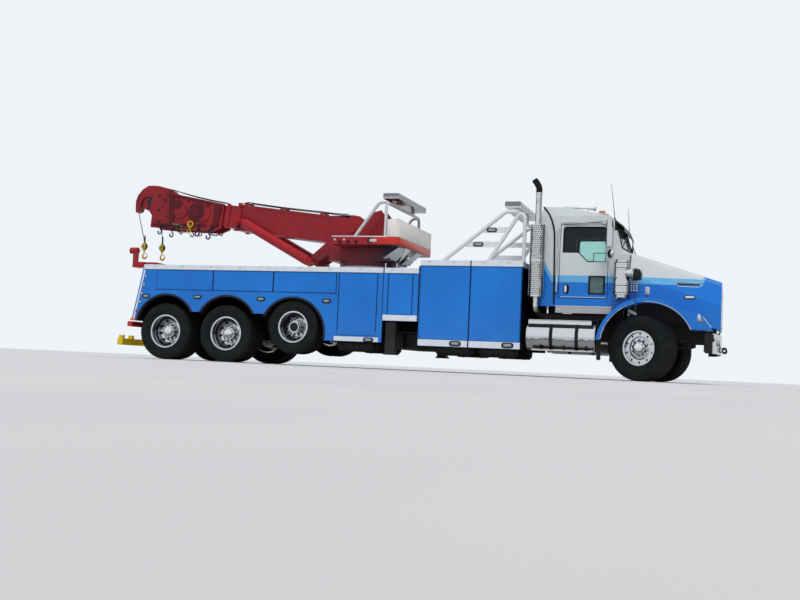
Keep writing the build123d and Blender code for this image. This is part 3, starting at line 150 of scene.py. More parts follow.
def finished(g, colour=None, dust=0.1, dust_top=1.1, wear=0.0, wear_colour=(0.3, 0.25, 0.22), spread=0.06,
             edge=0.004, peel=0.04):
    """The common surface: slow colour drift, wear in spots, road dust that thins upward, uneven gloss."""
    base = colour
    if colour is None:
        darker = tuple(c * (1 - spread * 2.2) for c in g.colour)
        base = g.mix(g.ramp(g.noise(1.7, 4), 0.3, 0.7), darker, g.colour)
    if wear:
        spots = g.ramp(g.noise(23.0, 6, 0.65), 0.7 - wear * 0.14, 0.74 - wear * 0.12)
        base = g.mix(g.times(spots, 0.8), base, wear_colour)
    if dust:
        fall = g.ramp(g.z, dust_top, 0.1)
        cloud = g.ramp(g.noise(4.3, 5, 0.62), 0.25, 0.8)
        amount = g.times(g.math("MULTIPLY", fall, cloud, clamp=True), dust)
        base = g.mix(amount, base, DUST)
        rough = g.math("ADD", g.times(amount, 0.5), g.times(g.noise(9.0, 4), 0.12))
        g.set("Roughness", g.math("ADD", rough, g.rough - 0.05, clamp=True))
    g.set("Base Color", base)
    g.bump(g.noise(140.0, 3), peel, 0.0006, edge)
    return g.made


def cab_paint(name, rear_curve):
    """Silver above, a light-blue stripe, blue below; behind the gasket the stripe sweeps up."""
    g = Graph(name, BLUE, 0.2, coat=0.25, shine=0.2)
    if rear_curve:
        bent = g.times(g.math("MAXIMUM", g.math("SUBTRACT", 3.07, g.x), 0.0), 1.75)
    else:
        bent = g.times(g.math("MAXIMUM", g.math("SUBTRACT", g.x, 5.62), 0.0), 3.0)
    level = g.math("SUBTRACT", g.z, bent)
    body = g.mix(g.above(level, 1.677), BLUE, SKY)
    body = g.mix(g.above(level, 1.797), body, SILVER)
    body = g.mix(g.times(g.ramp(g.noise(1.3, 4), 0.3, 0.75), 0.1), body, (0.02, 0.05, 0.12))
    if rear_curve:
        # the dark strip over the windshield, and the pale step below the door
        body = g.mix(g.times(g.above(g.x, 4.132), g.above(g.z, 2.6)), body, (0.006, 0.02, 0.018))
        step = g.times(g.above(g.x, 3.145), g.below(g.z, 1.264), g.below(g.x, 4.15),
                       g.below(g.math("ABSOLUTE", g.y), 1.03))
        body = g.mix(step, body, (0.4, 0.41, 0.43))
    return finished(g, body, dust=0.25, dust_top=1.3)


# x, half width and lowest z of each upright seam between the body's lids
SEAMS = [
    (-3.452, 0.014, 1.358), (-2.174, 0.014, 1.358), (-0.889, 0.01, 1.358), (-0.835, 0.01, 0.68),
    (-0.078, 0.01, 0.68), (0.13, 0.01, 1.0), (0.598, 0.01, 1.0),
]


def blue_paint(name):
    """Gloss blue; the body's arches are dark inside, and its front end is darkened as painted shade."""
    g = Graph(name, BLUE, 0.2, coat=0.25, shine=0.2)
    shade = g.mix(g.ramp(g.noise(0.9, 3), 0.3, 0.7), (0.002, 0.145, 0.55), (0.006, 0.195, 0.68))
    arches = g.times(g.below(g.math("ABSOLUTE", g.y), 1.283), g.below(g.z, 1.32))
    # painted shade: the front boxes' end, past x 2.598, is as dark as the arches
    dark = g.math("MAXIMUM", arches, g.above(g.x, 2.598))
    seams = 0.0
    for at, half, low_z in SEAMS:
        line = g.above(half, g.math("ABSOLUTE", g.math("SUBTRACT", g.x, at)))
        seams = g.math("MAXIMUM", seams, g.times(line, g.above(g.z, low_z)))
    shade = g.mix(seams, shade, (0.001, 0.01, 0.085))
    shade = g.mix(dark, shade, (0.004, 0.006, 0.014))
    # the decks are pale plate; the front boxes' deck is the higher one
    deck = g.math("ADD", 1.764, g.times(g.above(g.x, 0.72), 0.146))
    shade = g.mix(g.above(g.z, deck), shade, (0.6, 0.65, 0.7))
    coated = g.math("SUBTRACT", 1.0, dark)
    g.set("Specular IOR Level", g.times(coated, 0.2))
    g.set("Coat Weight", g.times(coated, 0.25))
    return finished(g, shade, dust=0.25, dust_top=1.2)


def plain(name, colour, rough, metal=0.0, coat=0.0, shine=0.25, **story):
    return finished(Graph(name, colour, rough, metal, coat, shine), **story)


def pierced(name):
    """Bright sheet rolled round the stack, pierced with staggered rows of round holes."""
    holes, pitch = 22, 0.036
    g = Graph(name, (0.5, 0.5, 0.51), 0.3, 1.0)
    across, along = g.math("SUBTRACT", g.x, STACK_X), g.math("SUBTRACT", g.y, STACK_Y)
    turn = g.times(g.math("ARCTAN2", along, across), holes / math.tau)
    row = g.times(g.z, 1 / pitch)
    shift = g.times(g.math("FLOOR", row), 0.5)
    u = g.math("SUBTRACT", g.math("FRACT", g.math("ADD", g.math("ADD", turn, shift), 40.0)), 0.5)
    v = g.math("SUBTRACT", g.math("FRACT", row), 0.5)
    far = g.math("SQRT", g.math("ADD", g.times(u, u), g.times(v, v)))
    hole = g.math("MULTIPLY", g.math("SUBTRACT", 0.33, far), 12.0, clamp=True)
    hole = g.times(hole, g.times(g.above(g.z, 1.42), g.below(g.z, 2.655)))
    # the sheet's colour between the holes carries a painted reflection
    g.set("Base Color", g.mix(hole, painted_reflection(g, (0.66, 0.65, 0.64), 0.8), (0.03, 0.03, 0.035)))
    g.bump(g.math("SUBTRACT", 1.0, hole), 0.7, 0.004)
    return g.made


def bumper_plate(name):
    """Chrome face, its returned ends and its tow hooks black."""
    g = Graph(name, (0.7, 0.7, 0.72), 0.14)
    end = g.times(g.above(g.math("ABSOLUTE", g.y), 1.19), g.below(g.x, 5.828))
    dark = g.math("MAXIMUM", g.math("MAXIMUM", end, g.above(g.x, 5.958)), g.below(g.x, 5.7))
    # the chrome face's colour carries a painted reflection
    g.set("Base Color", g.mix(dark, painted_reflection(g, (0.72, 0.73, 0.75), 0.7), (0.008, 0.008, 0.01)))
    g.set("Metallic", g.math("SUBTRACT", 1.0, dark))
    g.bump(g.noise(90.0, 3), 0.04, 0.0006)
    return g.made


def rod_steel(name):
    """Bright rod whose eye, at its outer end, is painted."""
    g = Graph(name, (0.7, 0.7, 0.72), 0.14)
    eye = g.below(g.x, -3.25)
    # painted reflection: light and dark streaks along the rod's length
    reflection_streak = g.ramp(g.noise(30.0, 3, 0.6, (0.2, 1, 1)), 0.2, 0.9)
    g.set("Base Color", g.mix(eye, g.mix(reflection_streak, (0.55, 0.55, 0.58), (0.78, 0.78, 0.8)), CRIMSON))
    g.set("Metallic", g.math("SUBTRACT", 1.0, eye))
    g.bump(g.noise(120.0, 3), 0.05, 0.0006)
    return g.made


def turret_paint(name):
    """Crimson above, and painted shade on the floor's underside: a dark purple-brown, darker towards the
    front.
    """
    g = Graph(name, CRIMSON, 0.34, coat=0.1)
    spots = g.times(g.ramp(g.noise(19.0, 6, 0.65), 0.6, 0.66), 0.7)
    red = g.mix(g.ramp(g.noise(2.1, 4), 0.3, 0.7), (0.27, 0.006, 0.014), CRIMSON)
    red = g.mix(spots, red, (0.09, 0.02, 0.02))
    # painted shade below the floor's edge, darkening towards the front
    under = g.mix(g.ramp(g.x, -0.75, -0.15), (0.19, 0.006, 0.014), (0.045, 0.012, 0.024))
    return finished(g, g.mix(g.below(g.z, 2.312), red, under), dust_top=5)


def brushed(name, colour, rough, stretch, strength=0.25, depth=0.8, bend=0.5):
    g = Graph(name, colour, rough, 1.0)
    lines = g.noise(60.0, 4, 0.6, stretch)
    g.set("Roughness", g.math("ADD", g.times(lines, 0.12), rough - 0.04))
    # the colour carries a painted reflection of sky and ground
    g.set("Base Color", painted_reflection(g, colour, depth, bend))
    g.bump(lines, strength, 0.0008, 0.003)
    return g.made


def painted_reflection(g, colour, depth, bend=0.5):
    """Painted reflection, so that bright metal reads as chrome: a bright sky side, a darker ground side and a
    dark line between, set by which way each face points.
    """
    nx, _, nz = g.split(g.new("ShaderNodeTexCoord").outputs["Normal"])
    wobble = g.times(g.math("SUBTRACT", g.noise(7.0, 3), 0.5), 0.7)
    level = g.math("ADD", g.math("SUBTRACT", nz, g.times(nx, nx, bend)), wobble)
    ground, dark = (tuple(c * (1 - share * depth) for c in colour) for share in (0.62, 0.9))
    tone = g.mix(g.ramp(level, -0.26, -0.16), ground, colour)
    far = g.times(g.math("ABSOLUTE", g.math("ADD", level, 0.27)), 9.0)
    return g.mix(g.math("SUBTRACT", 1.0, far, clamp=True), tone, dark)


def rubber(name):
    g = Graph(name, (0.012, 0.013, 0.014), 0.8, shine=0.15)
    scuff = g.times(g.ramp(g.noise(7.0, 6, 0.7), 0.45, 0.8), 0.4)
    g.set("Base Color", g.mix(scuff, (0.009, 0.011, 0.012), (0.035, 0.034, 0.032)))
    g.bump(g.noise(90.0, 4), 0.25, 0.001)
    return g.made


def glazing(name, colour, rough, bend, shine=0.25):
    """Clear glass; bend is how strongly it refracts."""
    g = Graph(name, colour, rough, shine=shine)
    g.set("Transmission Weight", 0.9)
    g.set("IOR", bend)
    g.bump(g.noise(2.0, 2), 0.02, 0.002)
    return g


def door_glass(name):
    """Dark tint with a clear sea-green pane in the lower front of the right window; the left is all clear."""
    g = glazing(name, (0.02, 0.03, 0.035), 0.04, 1.3, 0.4)
    pane = g.math("MAXIMUM", g.times(g.below(g.z, 2.416), g.above(g.x, 3.54)), g.above(g.y, 0.0))
    g.set("Base Color", g.mix(pane, (0.05, 0.08, 0.09), (0.62, 0.88, 0.84)))
    return g.made


def lens(name, colour, glow=0.0):
    g = Graph(name, colour, 0.12, coat=0.7)
    facets = g.new("ShaderNodeTexVoronoi", {"Scale": 85.0, "Vector": g.place}).outputs[0]
    g.set("Base Color", g.mix(g.ramp(facets, 0.1, 0.7), colour, tuple(c * 0.55 for c in colour)))
    if glow:
        g.set("Emission Color", (*colour, 1))
        g.set("Emission Strength", glow)
    g.bump(facets, 0.4, 0.002)
    return g.made
def blotted(name, colour):
    """Pale sheet with faint grey blots and a fine grain."""
    g = Graph(name, colour, 0.38)
    blot = g.times(g.ramp(g.noise(5.5, 5, 0.6), 0.3, 0.75), 0.35)
    g.set("Base Color", g.mix(blot, colour, (0.42, 0.42, 0.41)))
    g.bump(g.noise(70.0, 3), 0.2, 0.001, 0.003)
    return g.made


M = {
    "body": blue_paint("paint_body"),
    "pierced": pierced("stack_shield"),
    "turret": turret_paint("turret_red"),
    "cab": cab_paint("paint_cab", True),
    "hood": cab_paint("paint_hood", False),
    "white": blotted("white_trim", (0.72, 0.78, 0.86)),
    "silver": plain("silver_paint", SILVER, 0.25, coat=0.3),
    "boom": plain("boom_red", CRIMSON, 0.34, coat=0.1, dust=0.12, dust_top=6, wear=0.3,
                  wear_colour=(0.12, 0.012, 0.016), spread=0.14, edge=0.006),
    "red": plain("cylinder_red", (0.4, 0.006, 0.016), 0.3, coat=0.15, dust_top=5, wear=0.3, spread=0.1),
    "band": plain("band_red", (0.6, 0.03, 0.02), 0.35, coat=0.1, dust_top=5, spread=0.1),
    "panel": plain("panel_white", (0.86, 0.81, 0.76), 0.4, coat=0.1, dust=0.2, dust_top=6, spread=0.05),
    "tube": plain("tube_white", WHITE, 0.25, coat=0.4, dust=0.12, dust_top=6),
    "chassis": plain("chassis_black", (0.01, 0.01, 0.012), 0.55, dust=0.22, dust_top=1.2, wear=0.5,
                     wear_colour=(0.045, 0.03, 0.022)),
    "black": plain("satin_black", (0.008, 0.008, 0.01), 0.45, spread=0.1),
    "gasket": plain("gasket_black", (0.006, 0.006, 0.007), 0.6, dust=0.06),
    "lip": plain("arch_lip", (0.01, 0.01, 0.024), 0.4, coat=0.1, dust=0.25, dust_top=1.5),
    "engine": plain("engine_grey", (0.05, 0.05, 0.055), 0.6, 0.4, dust=0.3, dust_top=2),
    "yellow": plain("safety_yellow", (0.78, 0.56, 0.015), 0.42, dust=0.12, dust_top=0.9, wear=0.6,
                    wear_colour=(0.12, 0.08, 0.04)),
    "hook": plain("hook_yellow", (0.6, 0.42, 0.025), 0.42, dust=0.0, wear=1.0, wear_colour=(0.1, 0.07, 0.04)),
    "green": plain("hook_green", (0.09, 0.16, 0.06), 0.45, dust=0.0, wear=0.8),
    "dark_hook": plain("hook_dark", (0.03, 0.025, 0.05), 0.4, 0.5, dust=0.0, wear=0.8),
    "chrome": brushed("chrome", (0.74, 0.75, 0.77), 0.12, (1, 1, 1), 0.02),
    "rim": brushed("polished_rim", (0.62, 0.635, 0.66), 0.16, (1, 1, 1), 0.02, 0.85, 0.25),
    "mirror": brushed("mirror_shell", (0.4, 0.39, 0.38), 0.25, (1, 1, 3), 0.03, 0.6),
    "tank": brushed("tank_aluminium", (0.68, 0.69, 0.7), 0.16, (0.3, 2, 2), 0.03),
    "steel": brushed("stainless", (0.62, 0.61, 0.6), 0.2, (0.2, 0.2, 3), 0.04),
    "pale": brushed("pale_aluminium", (0.66, 0.67, 0.68), 0.32, (0.15, 2, 2), 0.08, 0.5),
    "rod": rod_steel("rod_chrome"),
    "burnt": plain("burnt_steel", (0.016, 0.01, 0.009), 0.6, 0.3, dust=0.0, spread=0.3),
    "cable": brushed("wire_rope", (0.07, 0.065, 0.065), 0.5, (4, 4, 4), 0.8),
    "seam": plain("seam_navy", (0.002, 0.01, 0.06), 0.5, dust=0.05),
    "bumper": bumper_plate("bumper_plate"),
    "head": plain("head_red", (0.31, 0.01, 0.018), 0.4, coat=0.05, dust_top=6, wear=0.8,
                  wear_colour=(0.1, 0.014, 0.018), spread=0.2, edge=0.006),
    "dark_red": plain("casting_red", (0.12, 0.004, 0.01), 0.45, dust=0.08, dust_top=6, wear=0.8,
                      wear_colour=(0.02, 0.008, 0.01), spread=0.2, edge=0.004),
    "bar_lens": lens("light_bar_lens", (0.24, 0.26, 0.27)),
    "visor": plain("visor_green", (0.006, 0.03, 0.02), 0.4, shine=0.15, dust=0.0),
    "tyre": rubber("tyre_rubber"),
    "seat": plain("seat_vinyl", (0.06, 0.06, 0.07), 0.6, dust=0.0, peel=0.3),
    "glass": door_glass("door_glass"),
    "sea": glazing("clear_glass", (0.55, 0.76, 0.75), 0.03, 1.45).made,
    "wheel": plain("wheel_rim_black", (0.02, 0.02, 0.022), 0.5, dust=0.0),
    "amber": lens("lens_amber", (0.75, 0.22, 0.02), 0.15),
    "lamp_red": lens("lens_red", (0.5, 0.012, 0.015), 0.1),
    "clear": lens("lens_clear", (0.75, 0.78, 0.8)),
    "grey_lens": lens("lens_grey", (0.42, 0.45, 0.45)),
}

# the nodes of each finish, by how their names start; the longest start that fits a name counts
FINISHES = {
    "chassis": "frame front_axle rear_axles knuckle tie_rod underlift_arm outrigger", "cab": "cab door",
    "body": "rear_body front_boxes lids", "boom": "boom_base boom_mid winches", "red": "tower lift_barrels",
    "engine": "engine", "tank": "fuel_tanks", "bumper": "bumper", "sea": "cab_glass", "seat": "cab_interior",
    "pierced": "exhaust", "steel": "air_cleaners", "tube": "rack", "band": "tail_bar", "hood": "hood",
    "chrome": "grille", "clear": "headlamps", "turret": "turret", "silver": "mast", "head": "boom_head",
    "hook": "hook_nose hook_head", "rod": "lift_rods", "yellow": "underlift_bar", "tyre": "tyre",
    "rim": "rim", "glass": "door_glass",
}
finish_of = {start: key for key, starts in FINISHES.items() for start in starts.split()}
for name, node in nodes.items():
    longest = max((start for start in finish_of if name.startswith(start)), key=len)
    node.data.materials.clear()
    node.data.materials.append(M[finish_of[longest]])


# ---- shapes


def circle(count, shift=0.0):
    """The cosine and sine of each of count even turns."""
    return [(math.cos(a), math.sin(a)) for a in (math.tau * (i + shift) / count for i in range(count))]


class Piece:
    """One joined mesh, put together from simple forms given in the truck's own axes."""

    begun = []

    def __init__(self, name, body, finish, smooth=40.0, replaces=()):
        self.name, self.body, self.finish, self.smooth = name, body, finish, smooth
        self.stands_for = replaces
        self.points, self.faces = [], []
        Piece.begun.append(self)

    def add(self, points, faces):
        start = len(self.points)
        self.points.extend(Vector(p) for p in points)
        self.faces.extend(tuple(start + i for i in face) for face in faces)

    def box(self, low, high, trim=0.0):
        """A block, its edges cut back by trim."""
        spans = [sorted(ends) for ends in zip(low, high)]
        if not trim:
            self.add([(x, y, z) for x in spans[0] for y in spans[1] for z in spans[2]],
                     [(0, 1, 3, 2), (4, 6, 7, 5), (0, 4, 5, 1), (2, 3, 7, 6), (0, 2, 6, 4), (1, 5, 7, 3)])
            return
        sizes = [b - a for a, b in spans]
        thin = sizes.index(min(sizes))
        u, v = [i for i in range(3) if i != thin]
        base, top = spans[thin]
        t, k = min(trim, sizes[thin] * 0.45), trim * 0.8
        loops = []
        for level, back in ((base, trim), (base + t, 0), (top - t, 0), (top, trim)):
            (a0, a1), (b0, b1) = [(spans[i][0] + back, spans[i][1] - back) for i in (u, v)]
            loop = []
            for p, q in ((a0 + k, b0), (a1 - k, b0), (a1, b0 + k), (a1, b1 - k), (a1 - k, b1), (a0 + k, b1),
                         (a0, b1 - k), (a0, b0 + k)):
                point = [level] * 3
                point[u], point[v] = p, q
                loop.append(point)
            loops.append(loop)
        self.skin(loops, cap=True)

    def pair(self, low, high, trim=0.0):
        """The same block on both sides of the truck."""
        for hand in HANDS:
            self.box((low[0], hand * low[1], low[2]), (high[0], hand * high[1], high[2]), trim)

    def skin(self, loops, cap=False, closed=True):
        """Quads between loops of the same number of points."""
        count = len(loops[0])
        faces = []
        for i in range(0, (len(loops) - 1) * count, count):
            for j in range(count if closed else count - 1):
                k = (j + 1) % count
                faces.append((i + j, i + k, i + count + k, i + count + j))
        if cap:
            faces.append(tuple(range(count - 1, -1, -1)))
            faces.append(tuple((len(loops) - 1) * count + j for j in range(count)))
        self.add([p for loop in loops for p in loop], faces)

    def lathe(self, centre, axis, profile, sides=32, cap=True):
        """A turned form: profile is (distance along the axis, radius) pairs."""
        centre, axis = Vector(centre), Vector(axis).normalized()
        side = axis.orthogonal().normalized()
        up = axis.cross(side)
        self.skin([[centre + axis * along + (side * c + up * s) * radius for c, s in circle(sides)]
                   for along, radius in profile], cap=cap)

    def band(self, start, axis, low, high, wide, ease, sides):
        """A narrow ring round a turned form, its edges eased."""
        self.lathe(start, axis, [(0, low), (ease, high), (wide - ease, high), (wide, low)], sides)

    def rod(self, start, end, radius, sides=12, tip=None):
        start, end = Vector(start), Vector(end)
        self.lathe(start, end - start, [(0, radius), ((end - start).length, radius if tip is None else tip)],
                   sides)

    def tube(self, points, radius, sides=8, closed=False):
        """A round tube through points, its rings turned half-way at each bend."""
        points = [Vector(p) for p in points]
        count = len(points)
        loops = []
        up = None
        for i, p in enumerate(points):
            before = points[(i - 1) % count] if (i or closed) else p
            after = points[(i + 1) % count] if (i < count - 1 or closed) else p
            along = (after - before).normalized()
            if up is None:
                up = along.orthogonal().normalized()
            up = (up - along * up.dot(along)).normalized()
            side = along.cross(up)
            loops.append([p + (up * c + side * s) * radius for c, s in circle(sides)])
        if closed:
            loops.append(loops[0])
        self.skin(loops, cap=not closed)

    def prism(self, outline, shift):
        """A flat outline of points pushed along shift."""
        low = [Vector(p) for p in outline]
        self.skin([low, [p + Vector(shift) for p in low]], cap=True)

    def ball(self, centre, radius, sides=16, squash=(1, 1, 1)):
        centre, squash = Vector(centre), Vector(squash)
        loops = []
        for i in range(1, sides // 2):
            a = math.pi * i / (sides // 2)
            loops.append([centre + squash * Vector((math.sin(a) * c, math.sin(a) * s, -math.cos(a))) * radius
                          for c, s in circle(sides)])
        self.skin(loops, cap=True)

    def done(self):
        mesh = bpy.data.meshes.new(self.name)
        mesh.from_pydata([tuple(p) for p in self.points], [], self.faces)
        mesh.validate()
        piece = bpy.data.objects.new(self.name, mesh)
        bpy.context.scene.collection.objects.link(piece)
        mesh.materials.append(M[self.finish])
        shape = bmesh.new()
        shape.from_mesh(mesh)
        bmesh.ops.recalc_face_normals(shape, faces=shape.faces)
        for edge in shape.edges:
            edge.smooth = len(edge.link_faces) == 2 and edge.calc_face_angle(0.0) < math.radians(self.smooth)
        for face in shape.faces:
            face.smooth = True
        shape.to_mesh(mesh)
        shape.free()
        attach(piece, self.body)
        if self.stands_for:
            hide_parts(*self.stands_for)


def arc(centre, radius, start, end, steps=20):
    """Points of an upright arc; angles are in degrees from +X."""
    turns = [math.radians(start + (end - start) * i / steps) for i in range(steps + 1)]
    return [Vector(centre) + Vector((radius * math.cos(a), 0, radius * math.sin(a))) for a in turns]


def sag(start, end, drop, steps=10):
    """A line from start to end that hangs by drop in its middle."""
    start, end = Vector(start), Vector(end)
    return [start.lerp(end, i / steps) - Vector((0, 0, drop * 4 * (i / steps) * (1 - i / steps)))
            for i in range(steps + 1)]


def cab_side(z):
    """Half width of the cab's side at a height: upright, then leaning in, then rounding over."""
    belt, eave, lean = 2.18, 2.86, 0.065
    if z < belt:
        return CAB_Y
    if z < eave:
        return CAB_Y - (z - belt) * lean / (eave - belt)
    return CAB_Y - lean - (z - eave) * 0.06 / 0.125


def oval(piece, centre, hand, half_w, half_h, thick, dome=0.0, slant=0.0, upright=False):
    """A stadium-shaped plate standing on a side of the truck; slant turns it towards the front."""
    centre, normal = Vector(centre), Vector((slant, hand, 0)).normalized()
    wide, tall = Vector((1, -hand * slant, 0)).normalized(), Vector((0, 0, 1))
    if upright:
        wide, tall = tall, wide
    loops = []
    for level, shrink in ((0.0, 0.0), (thick * 0.7, 0.0), (thick, min(half_w, half_h) * 0.16)):
        loop = []
        r = half_h - shrink
        for end in (1, -1):
            for i in range(9):
                a = math.radians(-90 + 180 * i / 8)
                along, rise = half_w - half_h + r * math.cos(a), r * math.sin(a)
                loop.append(centre + normal * level + wide * end * along + tall * end * rise)
        loops.append(loop)
    if dome:
        top = centre + normal * thick
        loops.append([top + normal * dome + (p - top) * 0.4 for p in loops[-1]])
    piece.skin(loops, cap=True)


# ---- wheels

# name, x, height, tyre radius, tyre width, bead radius, flange radius
WHEELS = [
    ("lift", -1.75, 0.72, 0.51, 0.26, 0.286, 0.3),
    ("drive_front", -3.15, 0.55, 0.55, 0.28, 0.311, 0.326),
    ("drive_rear", -4.47, 0.55, 0.55, 0.28, 0.311, 0.326),
]
# a pair's middle across the truck, half the pair's pitch, and the way the front wheels point
DUAL_Y, DUAL_HALF, STEER = 0.955, 0.168, math.radians(-24)


def tyre(piece, centre, out, radius, width, bead, flange, rim_width, blocks=60):
    """A road tyre: beads, sidewall ribs, shoulders and grooved tread with cross cuts."""
    w, r = width / 2, radius
    wall = (bead + r) / 2
    bead_w = rim_width / 2 - 0.014
    lanes, reach, groove, cut = 5, 0.86, 0.014, 0.01
    # distance across, radius
    half = [
        (bead_w, bead + 0.002), (bead_w + 0.003, flange + 0.004), (w * 0.86, wall - (wall - flange) * 0.55),
        (w * 0.97, wall - 0.02), (w * 0.985, wall - 0.016), (w * 0.985, wall + 0.006), (w, wall + 0.01),
        (w * 0.985, wall + 0.045), (w * 0.955, r * 0.93), (w * 0.945, r * 0.945), (w * 0.92, r * 0.955),
    ]
    tread = []
    lane = reach * 2 / lanes
    for i in range(lanes):
        a = -reach + i * lane
        b = a + lane
        tread += [(a * w + 0.004, r - groove), (a * w + 0.006, r), (b * w - 0.006, r),
                  (b * w - 0.004, r - groove)]
    crown = [(x, high * (1 - 0.012 * (x / w) ** 2)) for x, high in tread]
    profile = half + crown[::-1] + [(-x, high) for x, high in half[::-1]]
    centre, out = Vector(centre), Vector(out).normalized()
    up = Vector((0, 0, 1))
    side = up.cross(out).normalized()
    count, n = blocks * 3, len(profile)
    shoulder = len(half) - 2
    points = []
    for i, (c, s) in enumerate(circle(count)):
        for j, (x, high) in enumerate(profile):
            if i % 3 == 2 and shoulder <= j < n - shoulder and high > r * 0.95:
                high -= cut
            points.append(centre + out * x + (up * c + side * s) * min(high, r))
    piece.add(points, [(i * n + j, i * n + j + 1, k * n + j + 1, k * n + j)
                       for i, k in ((i, (i + 1) % count) for i in range(count)) for j in range(n - 1)])


def rim(piece, bolts, dark, centre, out, bead, flange, start, end, deep, hub_out, hub_r=0.118, capped=True):
    """A polished disc wheel: flange, drop centre, dished disc with round hand holes, hub and nuts."""
    centre, out = Vector(centre), Vector(out).normalized()
    inner = bead - 0.006
    piece.lathe(centre, out, [
        (end - 0.004, flange - 0.001), (end, flange - 0.006), (end - 0.006, flange - 0.012),
        (end - 0.016, bead - 0.004), (end - 0.05, inner - 0.006), (start + 0.06, inner - 0.01),
        (start + 0.012, bead - 0.008), (start + 0.002, flange - 0.004), (start, flange - 0.004),
        (start, bead - 0.02), (start + 0.06, inner - 0.022), (end - 0.05, inner - 0.018),
        (end - 0.016, bead - 0.014), (end - 0.012, flange - 0.01),
    ], 64, cap=False)
    side = out.orthogonal().normalized()
    up = out.cross(side)
    # disc between the barrel and the bolt face, with round holes left open
    ring_in, ring_out = 0.186, inner - 0.016
    hole_r, hole_at, holes = 0.03, 0.232, 10

    def place(radius, turn, back=0.0):
        t = (radius - ring_in) / (ring_out - ring_in)
        depth = deep + (start + 0.03 - deep) * t ** 1.6
        return centre + out * (depth - back) + (side * math.cos(turn) + up * math.sin(turn)) * radius

    for k in range(holes):
        mid = math.tau * k / holes
        around, edge = [], []
        for c, s in circle(16):
            scale = 1 / max(abs(c), abs(s))
            radius = ring_in + (ring_out - ring_in) * (c * scale + 1) / 2
            around.append((radius, mid + s * scale * math.pi / holes))
            hx, hy = hole_at + hole_r * c, hole_r * s
            edge.append((math.hypot(hx, hy), mid + math.atan2(hy, hx)))
        loops = [[place(*p, back) for p in edge] for back in (0.0, 0.01, 0.012, 0.005)]
        piece.skin([[place(*p) for p in around], *loops[:2]])
        # painted shade: a black plug a little behind each hole
        dark.skin(loops[2:], cap=True)
    rear, face, nose = (centre + out * along for along in (start, deep, hub_out))
    # painted shadow: a black ring inside the barrel
    dark.lathe(rear, out, [(0.058, inner - 0.0245), (0.066, inner - 0.0245), (0.066, inner - 0.05),
                           (0.058, inner - 0.05)], 48, cap=False)
    piece.lathe(face, out, [(0.002, ring_in + 0.003), (0.006, 0.178), (0.008, 0.12), (0, 0.1)], 48, cap=False)
    # the hub's dark collar, its drum and its domed cap, which is bright, or dark with a bright ring
    dark.lathe(face, out, [(0.006, hub_r + 0.008), (0.02, hub_r + 0.006), (0.02, hub_r - 0.002)], 40,
               cap=False)
    bolts.lathe(centre, out, [(deep, hub_r + 0.004), (deep + 0.02, hub_r + 0.001),
                              (hub_out - 0.01, hub_r + 0.001), (hub_out + 0.002, hub_r - 0.008),
                              (hub_out + 0.004, hub_r * 0.8)], 48, cap=False)
    (bolts if capped else dark).lathe(nose, out, [
        (0.003, hub_r * 0.81), (0.044, hub_r * 0.78), (0.056, hub_r * 0.66), (0.064, hub_r * 0.42),
        (0.067, 0.012)], 48)
    if not capped:
        bolts.lathe(nose, out, [
            (0.04, hub_r * 0.86), (0.052, hub_r * 0.84), (0.052, hub_r * 0.72),
            (0.04, hub_r * 0.7)], 40, cap=False)
    for c, s in circle(10, 0.5):
        spot = face + (side * c + up * s) * 0.146
        # painted shade: a dark ring round each nut's foot
        dark.lathe(spot, out, [(0.006, 0.024), (0.0095, 0.024), (0.0095, 0.019)], 12)
        bolts.lathe(spot, out, [
            (0, 0.021), (0.012, 0.021), (0.013, 0.0175), (0.04, 0.016), (0.052, 0.01), (0.056, 0.003)], 6)
    for c, s in circle(8):
        spot = nose + (side * c + up * s) * (hub_r * 0.88)
        dark.lathe(spot, out, [(-0.004, 0.008), (0.009, 0.008), (0.012, 0.005)], 6)
    # the valve's stem
    bolts.rod(centre + side * (bead - 0.03) + out * (start + 0.05),
              centre + side * (bead - 0.05) + out * (start + 0.12), 0.005, 6)


def wheel_pieces(wheel):
    """The tread, disc, bolts, and dark parts with painted shade that ride on a wheel such as front_left."""
    body = f"wheel_{wheel}"
    return (Piece(f"tread_{wheel}", body, "tyre", 28, [f"tyre_{wheel}"]),
            Piece(f"wheel_disc_{wheel}", body, "rim"), Piece(f"wheel_nuts_{wheel}", body, "chrome", 30),
            Piece(f"wheel_shade_and_dark_parts_{wheel}", body, "black", 30))


for name, x, z, radius, width, bead, flange in WHEELS:
    for side_name, hand in SIDES:
        skin, *parts = wheel_pieces(f"{name}_{side_name}")
        out, middle = Vector((0, hand, 0)), Vector((x, hand * DUAL_Y, z))
        for way in HANDS:
            tyre(skin, middle + out * way * DUAL_HALF, out, radius, width, bead, flange, 0.216)
        rim(*parts, middle, out, bead, flange, 0.06, 0.276, 0.012, 0.175 if name == "lift" else 0.15,
            capped=name != "lift")
for side_name, hand in SIDES:
    skin, *parts = wheel_pieces(f"front_{side_name}")
    out = Vector((-hand * math.sin(STEER), hand * math.cos(STEER), 0))
    pin = Vector((FRONT_X, hand * 0.85, FRONT_Z))
    bead, flange, rim_width, offset = 0.286, 0.3, 0.3, 0.19
    tyre(skin, pin + out * offset, out, FRONT_Z, 0.404, bead, flange, rim_width, 66)
    rim(*parts, pin, out, bead, flange, offset + 0.02, offset + rim_width / 2, 0.276, 0.328, 0.119)


# ---- body sides

# x from, x to, z from, z to of each pale trim strip on the sides
TRIMS = [
    (-4.99, 0.02, 1.762, 1.857), (0.05, 0.7, 1.762, 1.857), (0.738, 1.655, 1.908, 2.011),
    (1.68, 2.603, 1.908, 2.011), (0.738, 1.655, 0.459, 0.574), (1.68, 2.603, 0.459, 0.574),
    (-0.89, -0.02, 0.489, 0.574), (0.045, 0.7, 0.891, 0.996),
]
trims = Piece("side_trims", "root", "white", 30)
for x0, x1, z0, z1 in TRIMS:
    trims.pair((x0, 1.284, z0), (x1, TRIM_Y, z1), 0.004)

